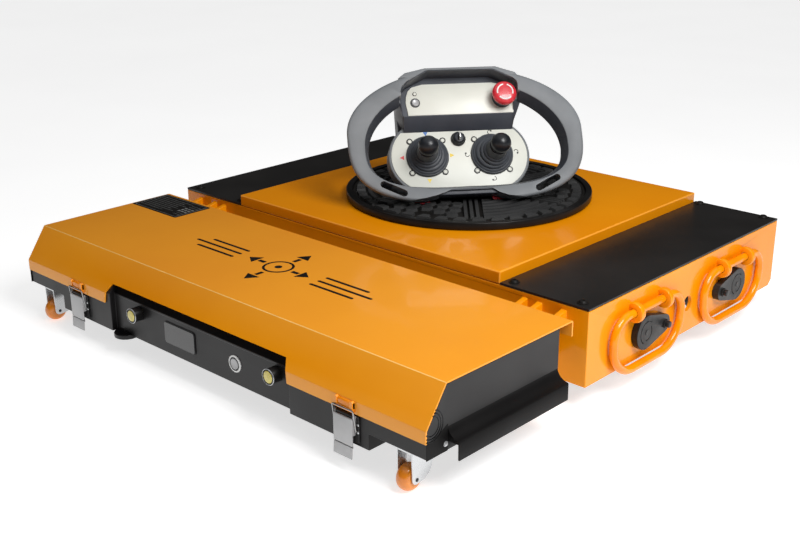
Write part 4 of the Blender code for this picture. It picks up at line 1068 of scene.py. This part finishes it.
def remote_case():
    notch_line = [(-92, -100), (-88, -80.5), (-64, -77.5), (-47, -74), (-34, -70), (-25, -66.2)]
    notch_line += [(33, -66.2), (42, -72.5), (57, -78.5), (82, -81.5), (90, -100)]
    opening = prism(hood_opening(), 18, 90)
    band = carved(loop_skin(band_section), grip_slot(-1), grip_slot(1), prism(notch_line, 10, 60), opening)
    band = carved(band, below_base(60))
    held("grip_band", band, "grip", ("remote_housing",), angle=40)
    lining = carved(loop_skin(chamfer_section), prism(hood_opening(-3.0), 18, 90), below_base(60))
    held("grip_lining", lining, "slate", angle=40)
    hood = [(39, -25), (39, 0), (57, 18), (108, 46), (120, 46), (120, -25)]
    console = prism(hood, LOOP_U - 91, LOOP_U + 91, "X")
    cuts = []
    top_left = [(-45.9, 120.6), (-77.2, 113.6), (-87, 106), (-89.9, 102.7), (-100, 102.7), (-100, 130),
                (-45.9, 130)]
    top_right = [(56.6, 119.8), (85.7, 110), (95.1, 96.4), (110, 96.4), (110, 130), (56.6, 130)]
    for outline in (top_left, top_right):
        cuts.append(prism(outline, -40, 60))
    for s in (-1, 1):
        foot = [(s * 91.5, 76), (s * 100, 76), (s * 100, 30), (s * 78, 30), (s * 81, 50)]
        cuts.append(prism([(LOOP_U + u, v) for u, v in foot], -30, 60))
    console = soften(carved(console, *cuts), 1.6, 3, 28, 1.2)
    console = carved(console, prism(hood_opening(), 18, 90))
    console = carved(console, below_base(60))
    held("console_hood", console, "slate")
    skin = [(60.5, 17.0), (58.0, 19.0), (107.9, 46.25), (120.3, 46.25), (120.3, 39.5), (109, 39.5)]
    rim = prism(skin, LOOP_U - 91.4, LOOP_U + 91.4, "X")
    rim = carved(rim, *[prism(outline, -40, 60) for outline in (top_left, top_right)])
    soften(rim, 1.2, 3, 28, 1.2)
    rim = carved(rim, prism(hood_opening(-0.2), 10, 90))
    rim = carved(rim, box(LOOP_U - 120, LOOP_U + 120, 40, 74.5, 0, 60))
    held("hood_rim", rim, "grip")
    held("hood_floor", prism(hood_opening(1.2), 17.9, 18.28), "slate")
    above = [(50, 10.6), (57, 17.2), (108, 45.2), (125, 45.2), (125, 90), (50, 90)]
    wall = carved(prism(hood_opening(0.1), 18.05, 60), prism(hood_opening(1.5), 10, 80))
    wall = carved(wall, prism(above, -120, 120, "X"))
    held("hood_lining", wall, "slate")
    step = prism([(38.9, 1.7), (38.6, 1.7), (56.6, 19.4), (57.6, 19.4), (57.6, 17.9)], -79.5, 81.5, "X")
    soften(step, 0.15, 1, 30)
    held("console_step", step, "slate")
    pod = soften(prism(stadium(48, 57, 40), -25, 0.4), 2.2, 4, 60, 1.0)
    wells = [prism(moved(arc(0, 0, 12.4, 0, 360, 40)[:-1], s * STICK_U, 0), -16, 5) for s in (-1, 1)]
    pod = carved(pod, below_base(60), *wells)
    held("console_pod", pod, "grip")
    heel = [(-50, -20), (-50, -0.3), (-54, -0.3), (-57, 28), (-66, 41.5), (-73, 41.5), (-72, 24), (-57, -5)]
    foot = soften(carved(prism(heel, -61.5, 61.5, "X"), below_base(60)), 1.2, 2, 30, 2.0)
    held("console_heel", foot, "slate")

    def low_v(w):
        """The lowest V at which the back shell, W above its face, clears what the control stands on."""
        return (-49.9 + 0.6 - w * math.sin(TILT)) / math.cos(TILT)

    shell = prism([(low_v(-25.3), -25.3), (112, -25.3), (104, -56), (low_v(-71.5), -71.5)], -84, 84, "X")
    soften(shell, 6.0, 5, 30, 1.0)
    held("console_back", shell, "slate", ("remote_back_shell",))
    tabs = []
    for u, v in ((-64.8, -73.5), (48.2, -71.6)):
        tabs.append(soften(prism(moved(stadium(6.8, 4.6, 12), u, v), 17, 21), 1.4, 3, 60, 1.0))
    held("strap_tabs", together(tabs), "red")


def faceplates():
    outline = stadium(48, 53, 48)
    plate = soften(carved(prism(outline, 0.5, 1.5), box(-120, 120, 38.6, 80, -5, 9)), 0.3, 2, 60, 2.0)
    held("lower_film", plate, "ivory", ("lower_faceplate",))
    top = [(-78, 57.8), (80, 57.8), (83, 84), (82.5, 92), (77, 99.5), (52, 106.2), (-54, 106.2), (-70, 102)]
    top += [(-76, 96), (-79, 88), (-80.5, 78)]
    film = soften(prism([(LOOP_U + u * 0.99, v) for u, v in top], 18.3, 19.8), 0.35, 2, 60, 1.0)
    held("upper_film", film, "ivory", ("upper_faceplate",))


def bellows(u, folds, bore, steps=6):
    """A run of round folds, each given by its crest, its root and the heights it runs between."""
    outer = []
    for crest, root, low, high in folds:
        for m in range(steps + 1):
            swell = math.sin(math.pi * m / steps) ** 0.6
            outer.append((root + (crest - root) * swell, low + (high - low) * (m / steps)))
    return turned(outer + [(bore, outer[-1][1]), (bore, outer[0][1])], 64, (u, 0, 0))


def joysticks():
    for name, s in BOTH:
        u = s * STICK_U
        flange = [(26, 1.5), (31.3, 1.5), (31.6, 2.6), (31.2, 4.6), (30.2, 5.8), (28.6, 6.2), (26, 5.4)]
        held(f"boot_{name}_flange", turned(flange, 72, (u, 0, 0)), "boot", (f"joystick_boot_{name}",))
        lean = shift((u, 0, -8)) @ Matrix.Rotation(s * math.radians(5), 4, "Y")
        lean = lean @ shift((-u, 0, 8))
        folds = bellows(u, [(29.2, 24.8, 4.6, 8.6), (25.6, 20.8, 8.6, 12.6)], 19.5)
        lower = held(f"boot_{name}_lower", folds, "boot", rides=False)
        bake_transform(lower)
        folds = bellows(u, [(22.0, 17.2, 12.2, 16.6), (18.2, 14.6, 16.6, 20.6)], 12.0)
        neck = [(11.2, 20.2), (15.4, 20.2), (15.6, 21.6), (14.9, 26.0), (14.0, 31.0), (13.5, 35.6),
                (11.2, 35.6)]
        folds = together([folds, turned(neck, 64, (u, 0, 0))])
        folds.transform(lean)
        upper = held(f"boot_{name}_upper", folds, "boot", rides=False)
        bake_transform(upper)
        stick = [(0, -13), (3.5, -13), (3.5, 2), (9, 10), (11.0, 18), (11.2, 30), (11.0, 34)]
        for k in range(25):
            turn = math.radians(-32 + 122 * k / 24)
            stick.append((14.7 * math.cos(turn) if k < 24 else 0, 47 + 14.7 * math.sin(turn)))
        shape = turned(stick, 72, (u, 0, 0))
        shape.transform(lean)
        held(f"stick_{name}_grip", shape, "knob", (f"joystick_stick_{name}",), f"stick_{name}")
        ring = turned([(7, -10), (10.2, -10), (10.5, -9.6), (10.5, -6.4), (10.2, -6), (7, -6)], 48, (u, 0, 0))
        held(f"gimbal_{name}_ring", ring, "steel", (f"joystick_gimbal_{name}",), f"gimbal_{name}")
        heads, washers = [], []
        for a in (-1, 1):
            for b in (-1, 1):
                spot = (u + 24.4 * a, 24.4 * b, 0)
                washers.append(turned([(3.0, 1.5), (4.6, 1.5), (4.6, 2.5), (4.2, 2.9), (3.0, 2.9)], 40, spot))
                heads.append(turned([(0, 1.5), (3.1, 1.5), (3.1, 2.4), (2.4, 3.0), (1.4, 3.2), (1.2, 2.7),
                                     (0, 2.6)],
                                    40, spot))
        held(f"boot_{name}_washers", together(washers), "gloss")
        held(f"boot_{name}_screws", together(heads), "ivory")


def marks():
    low, high = LOWER_FACE, LOWER_FACE + 0.12
    tip = [(-3.4, -3.0), (3.4, -3.0), (0, 3.4)]
    for name, mat, u, v, turn in (("left", "mark_red", -85.5, 0, 90), ("right", "mark_yellow", -11.5, 1, -90),
                                  ("low", "mark_yellow", -48, -37.2, 180),
                                  ("high", "mark_blue", -48, 35.6, 180)):
        arrow = prism(tip, low, high)
        arrow.transform(shift((u, v, 0)) @ turning(turn, "Z"))
        held(f"mark_{name}", arrow, mat)
    glyphs = []
    for u, v, start in ((11.4, 1, 150), (84.6, 3, -30), (48, -37.4, 240), (48, 35.0, 60)):
        band = turned([(2.5, low), (3.4, low), (3.4, high), (2.5, high)], 20, (u, v, 0), "Z", 200, start)
        head = prism([(-1.9, 0), (1.9, 0), (0, 2.8)], low, high)
        turn = math.radians(start)
        head.transform(shift((u + 3 * math.cos(turn), v + 3 * math.sin(turn), 0))
                       @ Matrix.Rotation(turn + math.pi, 4, "Z"))
        glyphs += [band, head]
    held("mark_turns", together(glyphs), "ink")


def controls():
    low = UPPER_FACE
    c = (68.0, 80.4, 0)
    base = [(7.6, low), (14.6, low), (14.6, low + 2), (14.0, low + 3), (14.0, low + 8.4), (13.2, low + 9),
            (7.6, low + 9)]
    held("stop_base", turned(base, 64, c), "slate", ("estop_base",))
    head = [(0, low + 4.9), (6.8, low + 4.9), (6.8, low + 12.8), (15.2, low + 13.4), (17.4, low + 15.2)]
    head += [(18.0, low + 17.5), (17.8, low + 20.4), (16.6, low + 22.6), (14.8, low + 23.9),
             (11.0, low + 24.9)]
    head += [(5.0, low + 25.2), (0, low + 25.25)]
    held("stop_head", turned(head, 96, c), "red", ("estop_button",), "estop")
    bands = []
    for k in range(3):
        path = []
        for m in range(31):
            turn = math.radians(100 + 120 * k + 92 * m / 30)
            path.append((c[0] + 11.4 * math.cos(turn), c[1] + 11.4 * math.sin(turn), low + 24.3))
        bands.append(swept(path, 1.25, 10, False))
    held("stop_marks", together(bands), "white", body="estop")
    p = (-61.6, 77.3, 0)
    push = [(0, 14), (5.4, 14), (5.4, low + 1.6), (5.0, low + 2.4), (4.2, low + 2.7), (3.4, low + 2.4),
            (0, low + 2.1)]
    held("push_cap", turned(push, 48, p), "plate", ("remote_button",), "remote_push")
    collar = [(5.6, low), (7.2, low), (7.1, low + 0.9), (6.6, low + 1.3), (5.6, low + 1.3)]
    held("push_collar", turned(collar, 48, p), "knob")
    lamp = (-61.4, 91.3, 0)
    nut = soften(prism(hexagon(lamp[0], lamp[1], 3.4), low, low + 0.9), 0.25, 2, 40, 1.0)
    held("pilot_nut", nut, "gloss")
    dome = turned([(0, low), (2.4, low), (2.4, low + 1.0), (1.7, low + 1.6), (0, low + 1.8)], 32, lamp)
    held("pilot_dome", dome, "ivory")
    k = (0, 25.6, 0)
    barrel_side = [(0, 0.4), (6, 0.4), (6, 1.8), (11, 1.8), (11, 3.0), (10.4, 5.2), (9.4, 6.0), (8.9, 8.4),
                   (8.0, 10.2)]
    barrel_side += [(6.6, 11.0), (0, 11.0)]
    held("key_barrel", turned(barrel_side, 64, k), "knob", ("key_switch",), "key")
    face = turned([(0, 10.9), (5.6, 10.9), (5.6, 11.3), (5.0, 11.6), (0, 11.6)], 48, k)
    blade = prism([(-4.6, 11.4), (4.6, 11.4), (5.4, 15.5), (3.8, 20.6), (-3.8, 20.6), (-5.4, 15.5)], -1.0,
                  1.0, "X")
    blade.transform(shift((0, 25.6, 0)))
    soften(blade, 0.35, 2, 40, 1.0)
    held("key_face", face, "boot", body="key")
    held("key_blade", blade, "steel", body="key")


# ---------------------------------------------------------------- room, in metres and degrees
FLOOR_REACH, FLOOR_GLOW, SKY = 16.0, 0.68, 0.66
KEY_PLACE, KEY_SIZE, KEY_POWER = (1.12, -0.25, 1.2), 0.8, 22.0
VIEW_PLACE, VIEW_TURN, VIEW_DROP, VIEW_ROLL = (1.0569, -1.1252, 0.6253), 43.363, 19.895, -0.318
LENS, SENSOR = 51.476, 36.0


def studio():
    floor = bpy.data.meshes.new("floor")
    far = FLOOR_REACH
    floor.from_pydata([(-far, -far, 0), (far, -far, 0), (far, far, 0), (-far, far, 0)], [], [(0, 1, 2, 3)])
    item = shown("floor", floor)
    item.location.z = -0.0003
    pale = surface("pale_floor", (0.62, 0.62, 0.62), (0.65, 0.65, 0.65), (0.55, 0.7), patches=1.2, grain=200,
                   depth=0.02)
    glow = pale.node_tree.nodes["Principled BSDF"]
    glow.inputs["Emission Color"].default_value = (1, 1, 1, 1)
    glow.inputs["Emission Strength"].default_value = FLOOR_GLOW
    floor.materials.append(pale)
    world = bpy.data.worlds.new("studio")
    world.use_nodes = True
    bpy.context.scene.world = world
    nodes, links = world.node_tree.nodes, world.node_tree.links
    back = nodes["Background"]
    coords = nodes.new("ShaderNodeTexCoord")
    split = nodes.new("ShaderNodeSeparateXYZ")
    links.new(coords.outputs["Generated"], split.inputs[0])
    ramp = nodes.new("ShaderNodeValToRGB")
    for stop, height, grey in zip(ramp.color_ramp.elements, (0.6, 0.9), (0.03, 1.0)):
        stop.position = height
        stop.color = (grey, grey, grey, 1)
    links.new(split.outputs["Z"], ramp.inputs[0])
    links.new(ramp.outputs[0], back.inputs["Color"])
    back.inputs["Strength"].default_value = SKY
    data = bpy.data.lights.new("key", "AREA")
    data.shape = "DISK"
    data.size = KEY_SIZE
    data.energy = KEY_POWER
    light = shown("key", data)
    light.location = KEY_PLACE
    aim = Vector((0, 0, 0.1)) - Vector(KEY_PLACE)
    light.rotation_euler = aim.to_track_quat("-Z", "Y").to_euler()


def camera():
    turn, drop, roll = (math.radians(a) for a in (VIEW_TURN, VIEW_DROP, VIEW_ROLL))
    ahead = Vector((-math.sin(turn) * math.cos(drop), math.cos(turn) * math.cos(drop), -math.sin(drop)))
    right = Vector((math.cos(turn), math.sin(turn), 0))
    up = right.cross(ahead)
    tilted_right = right * math.cos(roll) + up * math.sin(roll)
    tilted_up = up * math.cos(roll) - right * math.sin(roll)
    data = bpy.data.cameras.new("camera")
    data.lens = LENS
    data.sensor_width = SENSOR
    item = shown("camera", data)
    turned_to = Matrix((tilted_right, tilted_up, -ahead)).transposed().to_4x4()
    item.matrix_world = shift(VIEW_PLACE) @ turned_to
    bpy.context.scene.camera = item
    bpy.context.scene.view_settings.view_transform = "Standard"


camera()
studio()
trolley()
ring_lugs()
lifting_rings()
release_levers()
wheels()
turntable()
lid()
tray()
panel()
latches()
casters()
fan()
remote_case()
faceplates()
joysticks()
marks()
controls()
